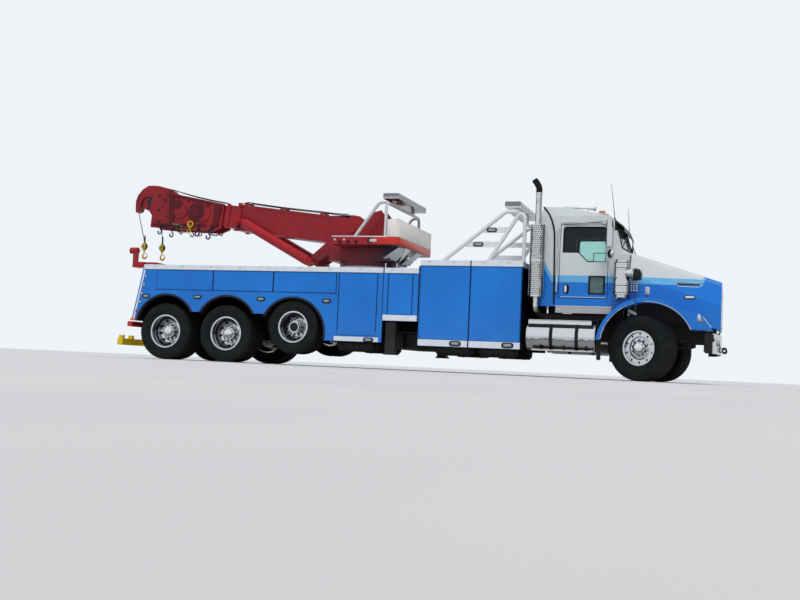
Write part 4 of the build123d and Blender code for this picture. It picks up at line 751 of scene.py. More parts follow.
# x, z, half width, half height of each marker lamp in its black bezel
MARKERS = [
    (-4.915, 1.227, 0.085, 0.04), (-3.77, 1.233, 0.085, 0.04), (-2.412, 1.226, 0.088, 0.042),
    (-1.069, 1.219, 0.09, 0.042), (-0.209, 0.528, 0.1, 0.042), (1.435, 0.518, 0.11, 0.048),
    (2.386, 0.52, 0.11, 0.048),
]
bezels = Piece("marker_bezels", "root", "black")
lenses = Piece("marker_lenses", "root", "grey_lens")
for x, z, w, h in MARKERS:
    for hand in HANDS:
        y = 1.2965 if z < 0.6 else 1.2895
        oval(bezels, (x, hand * y, z), hand, w, h, 0.012)
        oval(lenses, (x, hand * (y + 0.008), z), hand, w * 0.66, h * 0.5, 0.01, 0.004)

# Lips round the wheel arches
lips = Piece("arch_lips", "root", "lip", 50)
# distance from the axle and from the truck's middle, round the lip's section
LIP = ((0.645, 1.2), (0.645, 1.294), (0.65, 1.3), (0.68, 1.3), (0.686, 1.289), (0.686, 1.25))
for x, first, last in ((-1.75, -9, 152), (-3.135, 30, 150), (-4.455, 30, 168)):
    for hand in HANDS:
        rows = [arc((x, hand * y, 0.605), r, first, last, 32) for r, y in LIP]
        lips.skin([list(section) for section in zip(*rows)])

# Tie-down bumps and small posts on the deck's edge
studs = Piece("deck_studs", "root", "pale")
for hand in HANDS:
    for x in [-4.75 + 0.62 * i for i in range(9)]:
        oval(studs, (x, hand * TRIM_Y, 1.83), hand, 0.035, 0.011, 0.006)
    for x in (0.9, 1.35, 1.9, 2.35):
        oval(studs, (x, hand * TRIM_Y, 1.985), hand, 0.035, 0.011, 0.006)
    for x in (0.04, 0.26):
        studs.rod((x, hand * 1.22, 1.855), (x, hand * 1.22, 1.925), 0.012, 10)
        studs.ball((x, hand * 1.22, 1.93), 0.017, 10)

# Dark joints between the body's sections
joints = Piece("body_joints", "root", "seam")
joints.pair((0.0275, 1.26, 0.9), (0.0395, 1.2912, 1.76))
joints.pair((-4.74, 1.26, 1.3585), (-0.86, 1.2908, 1.3665))
joints.pair((-5.0, 1.26, 1.7545), (0.7, 1.2912, 1.7605))
joints.pair((0.74, 1.26, 1.9015), (2.6, 1.2912, 1.9065))
joints.pair((1.659, 1.22, 0.462), (1.677, 1.2935, 2.008))
joints.pair((0.026, 1.22, 1.765), (0.046, 1.2935, 1.852))
joints.pair((0.703, 1.22, 0.9), (0.735, 1.286, 1.9))
joints.pair((2.601, 1.1, 0.47), (2.604, 1.2895, 1.9))

# Tail: lamps and their plates
tail_out = Vector((-1.113, 0, 0.22)).normalized()


def tail_point(y, z, off=0.0):
    """A place on the sloping tail, off proud of it."""
    return Vector((-5.215 + (z - 0.742) * 0.19766, y, z)) + tail_out * off


tail_red = Piece("tail_lamps", "root", "lamp_red")
tail_amber = Piece("tail_amber_lamps", "root", "amber")
tail_clear = Piece("tail_work_lamps", "root", "clear")
tail_black = Piece("tail_lamp_rings", "root", "black")
tail_trim = Piece("tail_trim", "root", "white", 30)
for hand in HANDS:
    for y, z, lamp in ((1.18, 0.95, tail_red), (1.02, 0.95, tail_red), (1.18, 1.12, tail_amber),
                       (1.02, 1.12, tail_clear), (1.18, 1.62, tail_clear), (0.9, 1.62, tail_red)):
        spot = tail_point(hand * y, z, 0.001)
        tail_black.lathe(spot, tail_out, [(0, 0.062), (0.01, 0.062), (0.014, 0.055)], 24)
        lamp.lathe(spot, tail_out, [(0.01, 0.05), (0.018, 0.048), (0.024, 0.03), (0.026, 0.008)], 24)
    corner = Vector((-5.19, hand * 1.291, 0.765))
    tail_amber.box(corner - Vector((0.05, 0.004, 0.022)), corner + Vector((0.06, 0.008, 0.024)), 0.004)
    tail_red.lathe((-5.109, hand * 1.291, 0.924), (0, hand, 0), [(0, 0.026), (0.008, 0.024), (0.012, 0.012)],
                   20)
    for z in (1.2, 1.36, 1.52, 1.68):
        tail_clear.ball(tail_point(hand * 1.262, z, 0.004), 0.022, 10, (0.7, 0.8, 1))
tail_trim.box(tail_point(-1.29, 1.765, -0.02), tail_point(1.29, 1.85, 0.006), 0.003)
for hand in HANDS:
    edge = ((0.8, -0.062), (1.755, -0.062), (1.755, -0.03), (0.8, -0.03))
    tail_trim.prism([tail_point(hand * 1.289, z, off) for z, off in edge], (0, hand * 0.009, 0))
    for z in (1.13, 1.3, 1.47, 1.64):
        spot = tail_point(hand * 1.289, z, -0.105)
        tail_black.lathe(spot, (0, hand, 0), [(0, 0.03), (0.008, 0.03), (0.01, 0.024)], 16)
        tail_clear.lathe(spot, (0, hand, 0), [(0.004, 0.023), (0.013, 0.021), (0.017, 0.01)], 16)
tail_black.box(tail_point(-0.17, 1.2, 0.0) - Vector((0.002, 0, 0)), tail_point(0.17, 1.3, 0.008))


# ---- cab

gasket = Piece("cab_gasket", "root", "gasket", 60)
drip = Piece("cab_brightwork", "root", "chrome")
# x and z down the cab's rear edge
REAR_EDGE = [
    (2.862, 3.03), (2.925, 2.965), (2.985, 2.88), (3.035, 2.77), (3.068, 2.66), (3.089, 2.55), (3.098, 2.4),
    (3.104, 2.2), (3.112, 1.9), (3.119, 1.6), (3.126, 1.285),
]
drip.pair((3.155, 1.008, 1.245), (4.13, 1.022, 1.258), 0.002)
for hand in HANDS:
    gasket.tube([(x, hand * (cab_side(z) + 0.003), z) for x, z in REAR_EDGE], 0.016, 8)
    # grab bar, drip rail and the studs of the sill
    drip.tube([(3.165, hand * cab_side(2.62), 2.62), (3.165, hand * (cab_side(2.6) + 0.05), 2.6),
               (3.165, hand * 1.062, 1.5), (3.165, hand * 1.01, 1.47)], 0.012, 8)
    drip.tube([(x, hand * (cab_side(low) + out), z) for x, low, out, z in (
        (3.2, 2.73, 0.01, 2.735), (3.9, 2.74, 0.012, 2.745), (4.04, 2.66, 0.012, 2.66))], 0.008, 6)
    for x in (3.24, 3.56, 3.9):
        drip.rod((x, hand * 1.014, 1.19), (x, hand * 1.022, 1.19), 0.012, 8)

roof = Piece("roof_horns", "root", "chrome")
for y in (-0.5, 0.42):
    roof.lathe((3.17, y, 3.085), (1, 0, -0.055),
               [(0, 0.01), (0.02, 0.024), (0.1, 0.018), (0.4, 0.013), (0.52, 0.024), (0.57, 0.05),
                (0.572, 0.044), (0.52, 0.016)], 20)
    for x in (3.25, 3.6):
        roof.rod((x, y, 3.0), (x, y, 3.075 - (x - 3.25) * 0.055), 0.01, 8)
cab_lamps = Piece("cab_lamps", "root", "amber")
lamp_feet = Piece("cab_lamp_feet", "root", "chrome")
for y in (-0.74, -0.2, 0.0, 0.2, 0.74):
    z = 2.945 + 0.035 * (1 - abs(y) / 0.8)
    cab_lamps.box((3.83, y - 0.05, z - 0.01), (3.94, y + 0.05, z + 0.035), 0.014)
    lamp_feet.box((3.8, y - 0.056, z - 0.03), (3.95, y + 0.056, z - 0.006), 0.006)
aerials = Piece("aerials", "root", "black")
for start, end in (((4.13, -0.86, 2.76), (4.04, -0.86, 3.45)), ((4.22, 0.86, 2.7), (4.17, 0.86, 3.27))):
    aerials.rod(start, end, 0.007, 8, 0.003)
    aerials.rod(start, Vector(start).lerp(Vector(end), 0.12), 0.014, 8)
wipers = Piece("wipers", "root", "black")
for y in (-0.5, 0.35):
    wipers.tube([(4.4, y, 2.31), (4.34, y + 0.12, 2.42), (4.29, y + 0.28, 2.58)], 0.008, 6)
    wipers.tube([(4.33, y + 0.02, 2.36), (4.285, y + 0.4, 2.54)], 0.011, 6)

# Windshield frame in black rubber
frame_line = Piece("windshield_rubber", "root", "gasket", 60)


def windshield(y, z):
    """A place 2 mm before the windshield, which is peaked in the middle."""
    side_x = 4.13 + (2.78 - z) * (4.262 - 4.13) / (2.78 - 2.215)
    mid_x = 4.2 + (2.82 - z) * (4.365 - 4.2) / (2.82 - 2.28)
    return Vector((mid_x + (side_x - mid_x) * abs(y) / CAB_Y + 0.002, y, z))


for lo_y, hi_y in ((0.06, 0.85), (-0.85, -0.06)):
    corners = [windshield(y, z) for y, z in ((lo_y, 2.315), (hi_y, 2.315), (hi_y, 2.66), (lo_y, 2.66))]
    frame_line.tube([a.lerp(b, t / 4) for a, b in zip(corners, corners[1:] + corners[:1]) for t in range(4)],
                    0.012, 6, closed=True)

# ---- doors

for side_name, hand in SIDES:
    body = f"door_{side_name}"
    shine = Piece(f"door_brightwork_{side_name}", body, "chrome")
    shell = Piece(f"mirror_{side_name}", body, "mirror")
    dark = Piece(f"door_rubber_{side_name}", body, "gasket", 60)
    window = [(3.255, 2.205), (3.255, 2.62), (3.275, 2.652), (3.3, 2.66), (3.95, 2.66), (3.985, 2.645),
              (4.005, 2.61), (4.005, 2.045), (3.69, 2.045), (3.53, 2.205)]
    dark.tube([(x, hand * (cab_side(z) - 0.004), z) for x, z in window], 0.011, 6, closed=True)
    if hand < 0:
        peep = [(3.73, 1.485), (3.99, 1.485), (3.99, 1.785), (3.73, 1.785)]
        dark.tube([(x, -1.008, z) for x, z in peep], 0.02, 8, closed=True)
    # the dark quarter glass's divider and the opening pane's edge
    dark.box((3.521, hand * (cab_side(2.4) - 0.016), 2.206), (3.539, hand * (cab_side(2.4) - 0.004), 2.43))
    dark.box((3.53, hand * (cab_side(2.43) - 0.016), 2.418), (3.995, hand * (cab_side(2.43) - 0.005), 2.434))
    # handle in its dark cup
    oval(dark, (3.335, hand * 1.0105, 1.555), hand, 0.085, 0.05, 0.004, upright=True)
    oval(shine, (3.322, hand * 1.0135, 1.555), hand, 0.065, 0.022, 0.016, 0.005, upright=True)
    # mirror shell, its seams and its brackets
    mx, my, z0, z1 = 4.1, 1.29, 2.268, 2.737
    shell.box((mx - 0.06, hand * (my - 0.078), z0), (mx + 0.048, hand * (my + 0.0745), z1), 0.014)
    for x in (mx - 0.052, mx + 0.014, mx + 0.034):
        dark.box((x, hand * (my + 0.07), z0 + 0.012), (x + 0.012, hand * (my + 0.0748), z1 - 0.012))
    for z in (z0 + 0.07, z1 - 0.07):
        dark.box((mx - 0.08, hand * (my - 0.02), z - 0.014), (mx - 0.05, hand * (my + 0.02), z + 0.014),
                 0.004)
    dark.ball((mx + 0.01, hand * (my - 0.01), 2.155), 0.088, 16, (0.55, 0.8, 0.9))
    shine.ball((mx + 0.022, hand * (my - 0.008), 2.155), 0.082, 16, (0.6, 0.8, 0.9))
    shine.tube([(3.26, hand * (cab_side(2.72) + 0.015), 2.715), (3.62, hand * (cab_side(2.72) + 0.04), 2.73),
                (mx - 0.02, hand * (my - 0.12), 2.747)], 0.008, 6)
    shine.rod((mx, hand * my, 2.1), (mx, hand * my, 2.28), 0.013, 8)
    for low_z, high_z in ((2.285, 2.52), (2.535, 2.722)):
        shine.box((mx - 0.063, hand * (my - 0.066), low_z), (mx - 0.058, hand * (my + 0.064), high_z), 0.002)
    shine.box((3.23, hand * 1.009, 1.414), (4.03, hand * 1.0135, 1.422))

# The steering wheel stands in the door's clear pane
steering = Piece("steering_wheel", "root", "wheel", 50)
hub, face, radius = Vector((3.9, 0.48, 2.2)), Vector((-0.82, 0, 0.57)).normalized(), 0.215
across, upward = Vector((0, 1, 0)), face.cross(Vector((0, 1, 0))).normalized()
steering.tube([hub + (across * c + upward * s) * radius for c, s in circle(40)], 0.014, 8, closed=True)
for c, s in circle(4):
    steering.rod(hub, hub + (across * c + upward * s) * (radius - 0.005), 0.011, 8)
steering.lathe(hub, face, [(-0.05, 0.03), (-0.02, 0.055), (0.015, 0.055), (0.02, 0.03)], 20)

# Sun visor outside the windshield, peaked in the middle like it
visor = Piece("sun_visor", "root", "visor", 30)
VISOR = [
    (4.135, 2.765), (4.2, 2.745), (4.265, 2.7), (4.298, 2.65), (4.296, 2.6), (4.284, 2.596),
    (4.284, 2.645), (4.252, 2.69), (4.19, 2.728), (4.135, 2.745),
]
stations = []
for y in [-0.86 + 1.72 * k / 8 for k in range(9)]:
    peak = 1 - abs(y) / 0.86
    stations.append([(x + 0.03 * peak, y, z + 0.01 * peak) for x, z in VISOR])
visor.skin(stations, cap=True)

# ---- exhaust, air cleaners, tanks

louvre = Piece("stack_rings", "root", "chrome", 25)
for c, s in circle(6, 1 / 3):
    x, y = STACK_X + 0.1275 * c, STACK_Y + 0.1275 * s
    louvre.rod((x, y, 1.42), (x, y, 2.65), 0.004, 6)
for z in (1.405, 2.03, 2.662):
    louvre.band((STACK_X, STACK_Y, z - 0.012), (0, 0, 1), 0.128, 0.1315, 0.024, 0.004, 40)
for z in (2.7, 3.21):
    louvre.band((STACK_X, STACK_Y, z), (0, 0, 1), 0.056, 0.062, 0.025, 0.003, 24)
tip = Piece("stack_tip", "root", "burnt")
tip.tube([(STACK_X - back, STACK_Y, z) for back, z in (
    (0, 3.245), (0, 3.31), (0.014, 3.362), (0.045, 3.413), (0.087, 3.472))], 0.0555, 24)

cleaner = Piece("cleaner_bands", "root", "chrome")
inlet_and_band_shadows = Piece("cleaner_inlets_and_band_shadows", "root", "black")
for hand in HANDS:
    centre, pipe, cap_at = (CLEANER_X, hand * CLEANER_Y), (1, 0, -0.1), (4.475, hand * 1.19, 1.82)
    for z in (1.475, 1.6, 1.9, 1.995):
        cleaner.band((*centre, z - 0.012), (0, 0, 1), 0.133, 0.1365, 0.024, 0.004, 40)
        # painted shadow: a thin black ring below each bright band
        inlet_and_band_shadows.band((*centre, z + 0.011), (0, 0, 1), 0.1325, 0.1348, 0.011, 0.002, 40)
    cleaner.lathe((*centre, 2.055), (0, 0, 1), [(0, 0.113), (0.012, 0.108), (0.02, 0.08), (0.024, 0.01)], 32)
    cleaner.lathe((4.233, hand * CLEANER_Y, 1.415), (0, 0, -1),
                  [(0, 0.05), (0.02, 0.04), (0.05, 0.018), (0.058, 0.004)], 16)
    cleaner.lathe((4.43, hand * 1.19, 1.835), pipe,
                  [(-0.06, 0.07), (0.0, 0.078), (0.03, 0.086), (0.05, 0.086)], 28)
    inlet_and_band_shadows.lathe(cap_at, pipe, [
        (0.0, 0.06), (0.004, 0.1), (0.055, 0.108), (0.115, 0.1), (0.155, 0.07), (0.172, 0.03),
        (0.176, 0.006)], 32)
    cleaner.lathe(cap_at, pipe, [(0.012, 0.104), (0.02, 0.109), (0.028, 0.107)], 32)
    for row in range(5):
        for col in range(3):
            cleaner.ball((4.462 + col * 0.044, hand * 1.1, 1.545 + row * 0.042), 0.021, 10)

tank = Piece("tank_bands", "root", "gasket")
tank_shade = Piece("tank_shade_and_dark_blocks", "root", "black")
tank_steps = Piece("tank_steps", "root", "steel")
for hand in HANDS:
    y, z = hand * TANK_Y, TANK_Z
    for x in (3.132, 3.576):
        tank.band((x - 0.03, y, z), (1, 0, 0), 0.252, 0.2545, 0.06, 0.004, 48)
    for x, way in ((2.7, -1), (3.89, 1)):
        tank_steps.lathe((x, y, z), (way, 0, 0),
                         [(-0.02, 0.2465), (0.0, 0.2465), (0.004, 0.238), (0.006, 0.12), (0.007, 0.01)], 48)
    tank_steps.box((2.715, y - hand * 0.09, 0.986), (3.815, y + hand * 0.125, 1.004), 0.004)
    # black strips standing for the dark recess above the barrel, as painted shade; the step strip below it
    # and the filler's neck
    for a in (38, 50):
        ends = [(math.cos(t), math.sin(t)) for t in (math.radians(a), math.radians(a + 9))]
        outline = [(2.73, y + hand * 0.2455 * c, z + 0.2455 * s) for c, s in ends]
        outline += [(2.73, y + hand * 0.2505 * c, z + 0.2505 * s) for c, s in ends[::-1]]
        tank_shade.prism(outline, (1.13, 0, 0))
    tank_steps.box((2.8, y + hand * 0.13, 0.452), (3.86, y + hand * 0.235, 0.482), 0.006)
    tank_shade.box((2.8, y + hand * 0.02, 0.458), (3.86, y + hand * 0.13, 0.476), 0.004)
    for x in (2.95, 3.35, 3.74):
        tank_shade.box((x - 0.015, y + hand * 0.1, 0.47), (x + 0.015, y + hand * 0.21, 0.53), 0.003)
    for k in range(18):
        x = 2.76 + k * 0.06
        tank.box((x, y - hand * 0.07, 1.003), (x + 0.03, y + hand * 0.11, 1.008), 0.001)
    tank_steps.lathe((3.76, y - hand * 0.1, 0.92), (0, 0, 1),
                     [(0, 0.05), (0.05, 0.05), (0.055, 0.058), (0.085, 0.058), (0.09, 0.045)], 20)

# Dark gear below: battery boxes, air tanks between the rails' ends, and the flaps behind the front wheels
under = Piece("underbody", "root", "chassis")
under.pair((2.9, 0.6, 0.965), (4.06, 0.86, 1.133), 0.012)
under.pair((3.918, 0.72, 0.335), (3.932, 1.2, 1.03), 0.004)
for hand in HANDS:
    for x0, x1 in ((0.92, 1.62), (1.75, 2.45), (-1.02, -0.22)):
        reach = x1 - x0
        under.lathe((x0, hand * 0.72, 0.435), (1, 0, 0), [
            (0, 0.03), (0.012, 0.09), (0.05, 0.13), (reach - 0.05, 0.13), (reach - 0.012, 0.09),
            (reach, 0.03)], 24)
        for x in (x0 + 0.16, x1 - 0.16):
            under.band((x - 0.02, hand * 0.72, 0.435), (1, 0, 0), 0.13, 0.135, 0.04, 0.002, 24)
            under.box((x - 0.02, hand * 0.7, 0.54), (x + 0.02, hand * 0.74, 0.7))

# ---- hood and bumper

hood_shine = Piece("hood_brightwork", "hood", "chrome")
hood_dark = Piece("hood_vents", "hood", "black")
hood_lamps = Piece("hood_side_lamps", "hood", "clear")
hood_amber = Piece("hood_amber_lamps", "hood", "amber")


def hood_side(x, z):
    """Half width of the hood at a place on its side."""
    stations = [(4.42, 0.965, 0.79, 2.235), (5.54, 0.8, 0.64, 1.895), (5.94, 0.7, 0.56, 1.765)]
    a, b = (stations[0], stations[1]) if x < 5.54 else (stations[1], stations[2])
    t = (x - a[0]) / (b[0] - a[0])
    low, high, top = (a[i] + (b[i] - a[i]) * t for i in (1, 2, 3))
    knee, shoulder = top - 0.42, top - 0.075
    if z <= knee:
        return low
    return low + (high - low) * (z - knee) / (shoulder - knee)


for hand in HANDS:
    outline = [(5.165, 1.735), (5.625, 1.735), (5.565, 1.655), (5.225, 1.655)]
    ring = []
    for (xa, za), (xb, zb) in zip(outline, outline[1:] + outline[:1]):
        for t in range(3):
            x, z = xa + (xb - xa) * t / 3, za + (zb - za) * t / 3
            ring.append((x, hand * (hood_side(x, z) + 0.002), z))
    hood_shine.tube(ring, 0.009, 6, closed=True)
    hood_dark.skin([[(x, hand * (hood_side(x, z) + 0.003), z) for x in (5.2, 5.4, 5.58)]
                    for z in (1.684, 1.712)], closed=False)
    y = hand * (hood_side(4.719, 1.555) + 0.002)
    hood_lamps.box((4.682, y - hand * 0.01, 1.49), (4.756, y + hand * 0.03, 1.625), 0.012)
    # signal lamp on the fender's front and the lip's bright line
    hood_shine.ball((5.586, hand * 1.165, 1.105), 0.046, 16, (0.8, 0.7, 1.7))
    hood_lamps.ball((5.6, hand * 1.178, 1.1), 0.037, 14, (0.75, 0.7, 1.6))
    hood_amber.ball((5.632, hand * 1.165, 1.055), 0.022, 12, (0.8, 0.8, 1.2))
    # blank oval plate with a dark rim on the hood's side
    y = hand * (hood_side(5.42, 1.47) + 0.0005)
    oval(hood_dark, (5.42, y, 1.47), hand, 0.095, 0.034, 0.008, slant=0.145)
    oval(hood_shine, (5.42, y + hand * 0.005, 1.47), hand, 0.078, 0.022, 0.009, slant=0.145)
    hood_shine.tube(arc((FRONT_X, hand * 1.247, FRONT_Z), 0.789, 25, 100), 0.008, 6)
for z0, z1 in ((0.98, 0.992), (1.634, 1.648)):
    hood_shine.box((5.943, -0.505, z0), (5.952, 0.505, z1), 0.002)
for y in [-0.42 + 0.07 * i for i in range(13)]:
    hood_shine.box((5.918, y - 0.004, 1.03), (5.944, y + 0.004, 1.595))

cowl_shine = Piece("fender_lip_rear", "root", "chrome")
for hand in HANDS:
    cowl_shine.tube(arc((FRONT_X, hand * 1.247, FRONT_Z), 0.789, 106, 170), 0.008, 6)

front = Piece("bumper_lamps", "root", "clear")
front_rings = Piece("bumper_lamp_rings", "root", "chrome")
for hand in HANDS:
    front_rings.lathe((5.8, hand * 1.165, 0.775), (1, 0, 0),
                      [(0, 0.03), (0.03, 0.062), (0.05, 0.066), (0.056, 0.058)], 24)
    front.lathe((5.85, hand * 1.165, 0.775), (1, 0, 0),
                [(-0.01, 0.056), (0.006, 0.055), (0.022, 0.038), (0.03, 0.012)], 24)
    for y in (0.62, 0.8):
        x = 5.95 - max(0, y - 0.5) * 0.13 / 0.745
        front_rings.lathe((x - 0.004, hand * y, 0.7), (1, 0, 0), [(0, 0.06), (0.008, 0.06), (0.012, 0.052)],
                          24)
        front.lathe((x + 0.004, hand * y, 0.7), (1, 0, 0), [(0, 0.048), (0.008, 0.044), (0.012, 0.02)], 24)

# ---- turret

deck_line = Piece("turret_edge", "turret", "tube")
t_shine = Piece("turret_lamps", "turret", "clear")
t_grey = Piece("turret_gussets", "turret", "tube")
t_dark = Piece("turret_fittings", "turret", "black")
t_band = Piece("turret_band", "turret", "band")
t_panel = Piece("turret_panels", "turret", "panel")
T = 1.08     # half the turret's width
deck_line.pair((-1.11, T - 0.012, 2.452), (-0.01, T + 0.006, 2.472), 0.003)
t_dark.pair((-0.4, T - 0.01, 2.345), (-0.16, T + 0.002, 2.425), 0.003)
t_panel.pair((-0.016, T - 0.006, 2.458), (0.168, T + 0.004, 2.788), 0.003)
t_band.pair((-0.3, T - 0.006, 2.312), (0.168, T + 0.005, 2.453), 0.003)
for hand in HANDS:
    oval(t_shine, (-0.28, hand * (T + 0.002), 2.385), hand, 0.075, 0.026, 0.014, 0.004)
    for x in (-0.95, -0.78, -0.62):
        t_dark.rod((x, hand * (T - 0.02), 2.36), (x, hand * (T + 0.02), 2.36), 0.028, 14)
    for x in (-1.05, -0.86):
        t_shine.rod((x, hand * (T - 0.01), 2.4), (x, hand * (T + 0.01), 2.4), 0.02, 12)
    # pale gussets below the tail
    t_grey.prism([(-0.24, hand * 0.6, 2.11), (0.1, hand * 0.7, 2.305), (0.19, hand * 0.42, 2.308),
                  (-0.03, hand * 0.44, 2.07)], (0, -hand * 0.02, 0))
    t_grey.prism([(-0.1, hand * 0.12, 2.06), (0.0, hand * 0.28, 2.07), (0.19, hand * 0.55, 2.308),
                  (0.19, hand * 0.2, 2.308)], (-0.02, 0, 0))
    for piece, z0, z1 in ((t_panel, 2.458, 2.788), (t_band, 2.312, 2.453)):
        piece.prism([(0.164, hand * 1.073, z0), (0.166, hand * 1.0845, z0), (0.2175, hand * 1.034, z0),
                     (0.206, hand * 1.028, z0)], (0, 0, z1 - z0))
t_panel.box((0.209, -T + 0.05, 2.458), (0.219, T - 0.05, 2.788), 0.003)
t_band.box((0.209, -T + 0.05, 2.312), (0.22, T - 0.05, 2.453), 0.003)
for y in [-0.9 + 0.36 * i for i in range(6)]:
    for z in (2.475, 2.77):
        t_dark.rod((0.212, y, z), (0.224, y, z), 0.008, 8)

bar_lamps = Piece("mast_light_bar", "turret", "bar_lens")
bar_ends = Piece("mast_light_bar_base", "turret", "steel")
for k in range(14):
    y = -0.905 + k * 0.1294
    bar_lamps.box((-0.187, y, 3.23), (0.127, y + 0.1235, 3.311), 0.012)
bar_ends.box((-0.186, -0.906, 3.199), (0.126, 0.906, 3.226), 0.006)
bar_ends.box((-0.183, -0.903, 3.226), (0.123, 0.903, 3.3065), 0.004)
rack_lamps = Piece("rack_light_bar", "root", "bar_lens")
for k in range(12):
    y = -0.855 + k * 0.1426
    rack_lamps.box((2.143, y, 3.052), (2.437, y + 0.136, 3.146), 0.012)
slat_bezel = Piece("rack_lamp_bezels", "root", "black")
slat_lens = Piece("rack_lamp_lenses", "root", "grey_lens")
for hand in HANDS:
    for x, z in ((1.98, 2.585), (1.74, 2.325)):
        oval(slat_bezel, (x, hand * 1.101, z), hand, 0.095, 0.04, 0.01)
        oval(slat_lens, (x, hand * 1.108, z), hand, 0.07, 0.024, 0.009, 0.003)

# ---- boom

LEAN = math.radians(6.8)
ALONG = Vector((-math.cos(LEAN), 0, math.sin(LEAN)))
ACROSS = Vector((math.sin(LEAN), 0, math.cos(LEAN)))
PIVOT = Vector((-1.01, 0, 2.7))

def on_boom(along, up, y=0.0):
    """A place on the boom: how far along it from its pin, and how far above its middle."""
    return PIVOT + ALONG * along + ACROSS * up + Vector((0, y, 0))


def boom_plate(piece, y, thick, corners):
    """A plate of (along, up) corners standing on the boom's side."""
    piece.prism([on_boom(at, up, y) for at, up in corners], (0, thick, 0))


hose = Piece("boom_base_hoses", "boom_base", "black", 50)
guide = Piece("boom_base_guides", "boom_base", "boom")
for y in (-0.06, 0.05, 0.12):
    hose.tube([on_boom(0.15, 0.28, y)] + [on_boom(at, 0.231, y) for at in (0.6, 1.3, 2.5)], 0.01, 8)
for at in (0.75, 1.63, 2.44):
    for hand in HANDS:
        boom_plate(guide, hand * 0.16, -hand * 0.02, [
            (at - 0.05, 0.21), (at + 0.05, 0.21), (at + 0.02, 0.285), (at - 0.02, 0.285)])
    hose.rod(on_boom(at, 0.268, -0.15), on_boom(at, 0.268, 0.15), 0.018, 12)
for hand in HANDS:
    y = hand * 0.2395
    for top in (0.2, -0.28):
        boom_plate(guide, y, hand * 0.006, [(0.42, top), (2.46, top), (2.46, top - 0.03), (0.42, top - 0.03)])
    for at in (0.9, 1.3):
        boom_plate(guide, y, hand * 0.004,
                   [(at, 0.17), (at + 0.03, 0.17), (at + 0.23, -0.28), (at + 0.2, -0.28)])
    for up in (0.16, -0.05, -0.24):
        hose.rod(on_boom(2.5, up, hand * 0.262), on_boom(2.5, up, hand * 0.275), 0.02, 10)

cables = Piece("winch_cables", "boom_head", "cable", 60)
fittings = Piece("boom_head_fittings", "boom_head", "dark_red", 35)
darks = Piece("boom_head_dark_fittings", "boom_head", "dark_hook")
bolts = Piece("boom_head_bolts", "boom_head", "dark_hook")
# along and up of each bolt in the head's side plates
HEAD_BOLTS = [
    (3.05, 0.08), (3.05, -0.2), (3.75, 0.17), (4.3, 0.12), (4.42, -0.1), (4.38, -0.35), (3.4, -0.28),
    (3.75, -0.34), (4.45, 0.2), (3.28, 0.12), (3.85, -0.12), (4.22, -0.2),
]
for hand in HANDS:
    y = hand * 0.2105
    fittings.lathe(on_boom(3.52, -0.05, y), (0, hand, 0), [
        (0, 0.2), (0.018, 0.2), (0.024, 0.188), (0.024, 0.12), (0.04, 0.11), (0.04, 0.02)], 40)
    fittings.lathe(on_boom(3.98, 0.05, y), (0, hand, 0), [
        (0, 0.12), (0.014, 0.12), (0.02, 0.105), (0.028, 0.05), (0.034, 0.02)], 28)
    boom_plate(fittings, y, hand * 0.03, [(2.96, 0.16), (3.12, 0.16), (3.1, -0.3), (2.98, -0.3)])
    boom_plate(fittings, y, hand * 0.02, [(3.2, 0.19), (4.3, 0.26), (4.3, 0.23), (3.2, 0.16)])
    boom_plate(fittings, y, hand * 0.02, [(3.25, -0.32), (4.5, -0.44), (4.5, -0.4), (3.25, -0.28)])
    boom_plate(fittings, y, hand * 0.022, [(4.0, -0.4), (4.12, -0.4), (4.2, 0.2), (4.1, 0.22)])
    for at, up in HEAD_BOLTS:
        bolts.lathe(on_boom(at, up, y), (0, hand, 0), [(0, 0.022), (0.03, 0.022), (0.034, 0.012)], 6)
    for c, s in circle(10):
        bolts.lathe(on_boom(3.52 + 0.155 * c, -0.05 + 0.155 * s, y), (0, hand, 0),
                    [(0.024, 0.012), (0.034, 0.012)], 6)
for at, up, r in ((4.43, -0.3, 0.12), (4.66, 0.05, 0.11)):
    for y in (-0.102, 0.102):
        darks.lathe(on_boom(at, up, y), (0, 1, 0), [
            (-0.02, r), (-0.012, r + 0.012), (-0.004, r - 0.02), (0.004, r - 0.02), (0.012, r + 0.012),
            (0.02, r)], 28)
# the winch cables: over the rollers to the nose, and along the boom's base
for y, drop, lead in ((-0.03, 0.02, [(4.62, 0.404), (4.2, 0.36)]), (0.05, 0.03, [(4.62, 0.404)])):
    slack = sag(on_boom(4.2, 0.36, y), on_boom(2.93, 0.235, y), drop)
    cables.tube([on_boom(at, up, y) for at, up in lead] + slack, 0.009, 6)
base_line = Piece("boom_base_cables", "boom_base", "cable", 60)
for y in (-0.1, 0.09):
    fore = sag(on_boom(2.44, 0.295, y), on_boom(0.75, 0.295, y), 0.012)
    aft = sag(on_boom(0.75, 0.295, y), on_boom(0.2, 0.31, y), 0.01)
    base_line.tube([on_boom(2.53, 0.262, y)] + fore + aft, 0.01, 6)

# ---- rigging under the head

links = Piece("head_chains", "boom_head", "dark_hook", 60)
brass = Piece("head_hooks", "boom_head", "hook", 50)
green = Piece("head_green_hooks", "boom_head", "green", 50)


def chain(piece, path, link=0.038, wire=0.0065):
    """Oval links laid along a path, each turned a quarter from the last."""
    path = [Vector(p) for p in path]
    travel, turn = 0.0, 0
    for a, b in zip(path, path[1:]):
        length = (b - a).length
        along = (b - a).normalized()
        side = along.orthogonal().normalized()
        up = along.cross(side)
        while travel < length:
            c = a + along * travel
            across = side if turn % 2 else up
            piece.tube([c + along * u * link * 0.85 + across * v * link * 0.5 for u, v in circle(10)], wire,
                       5, closed=True)
            travel += link * 1.25
            turn += 1
        travel -= length


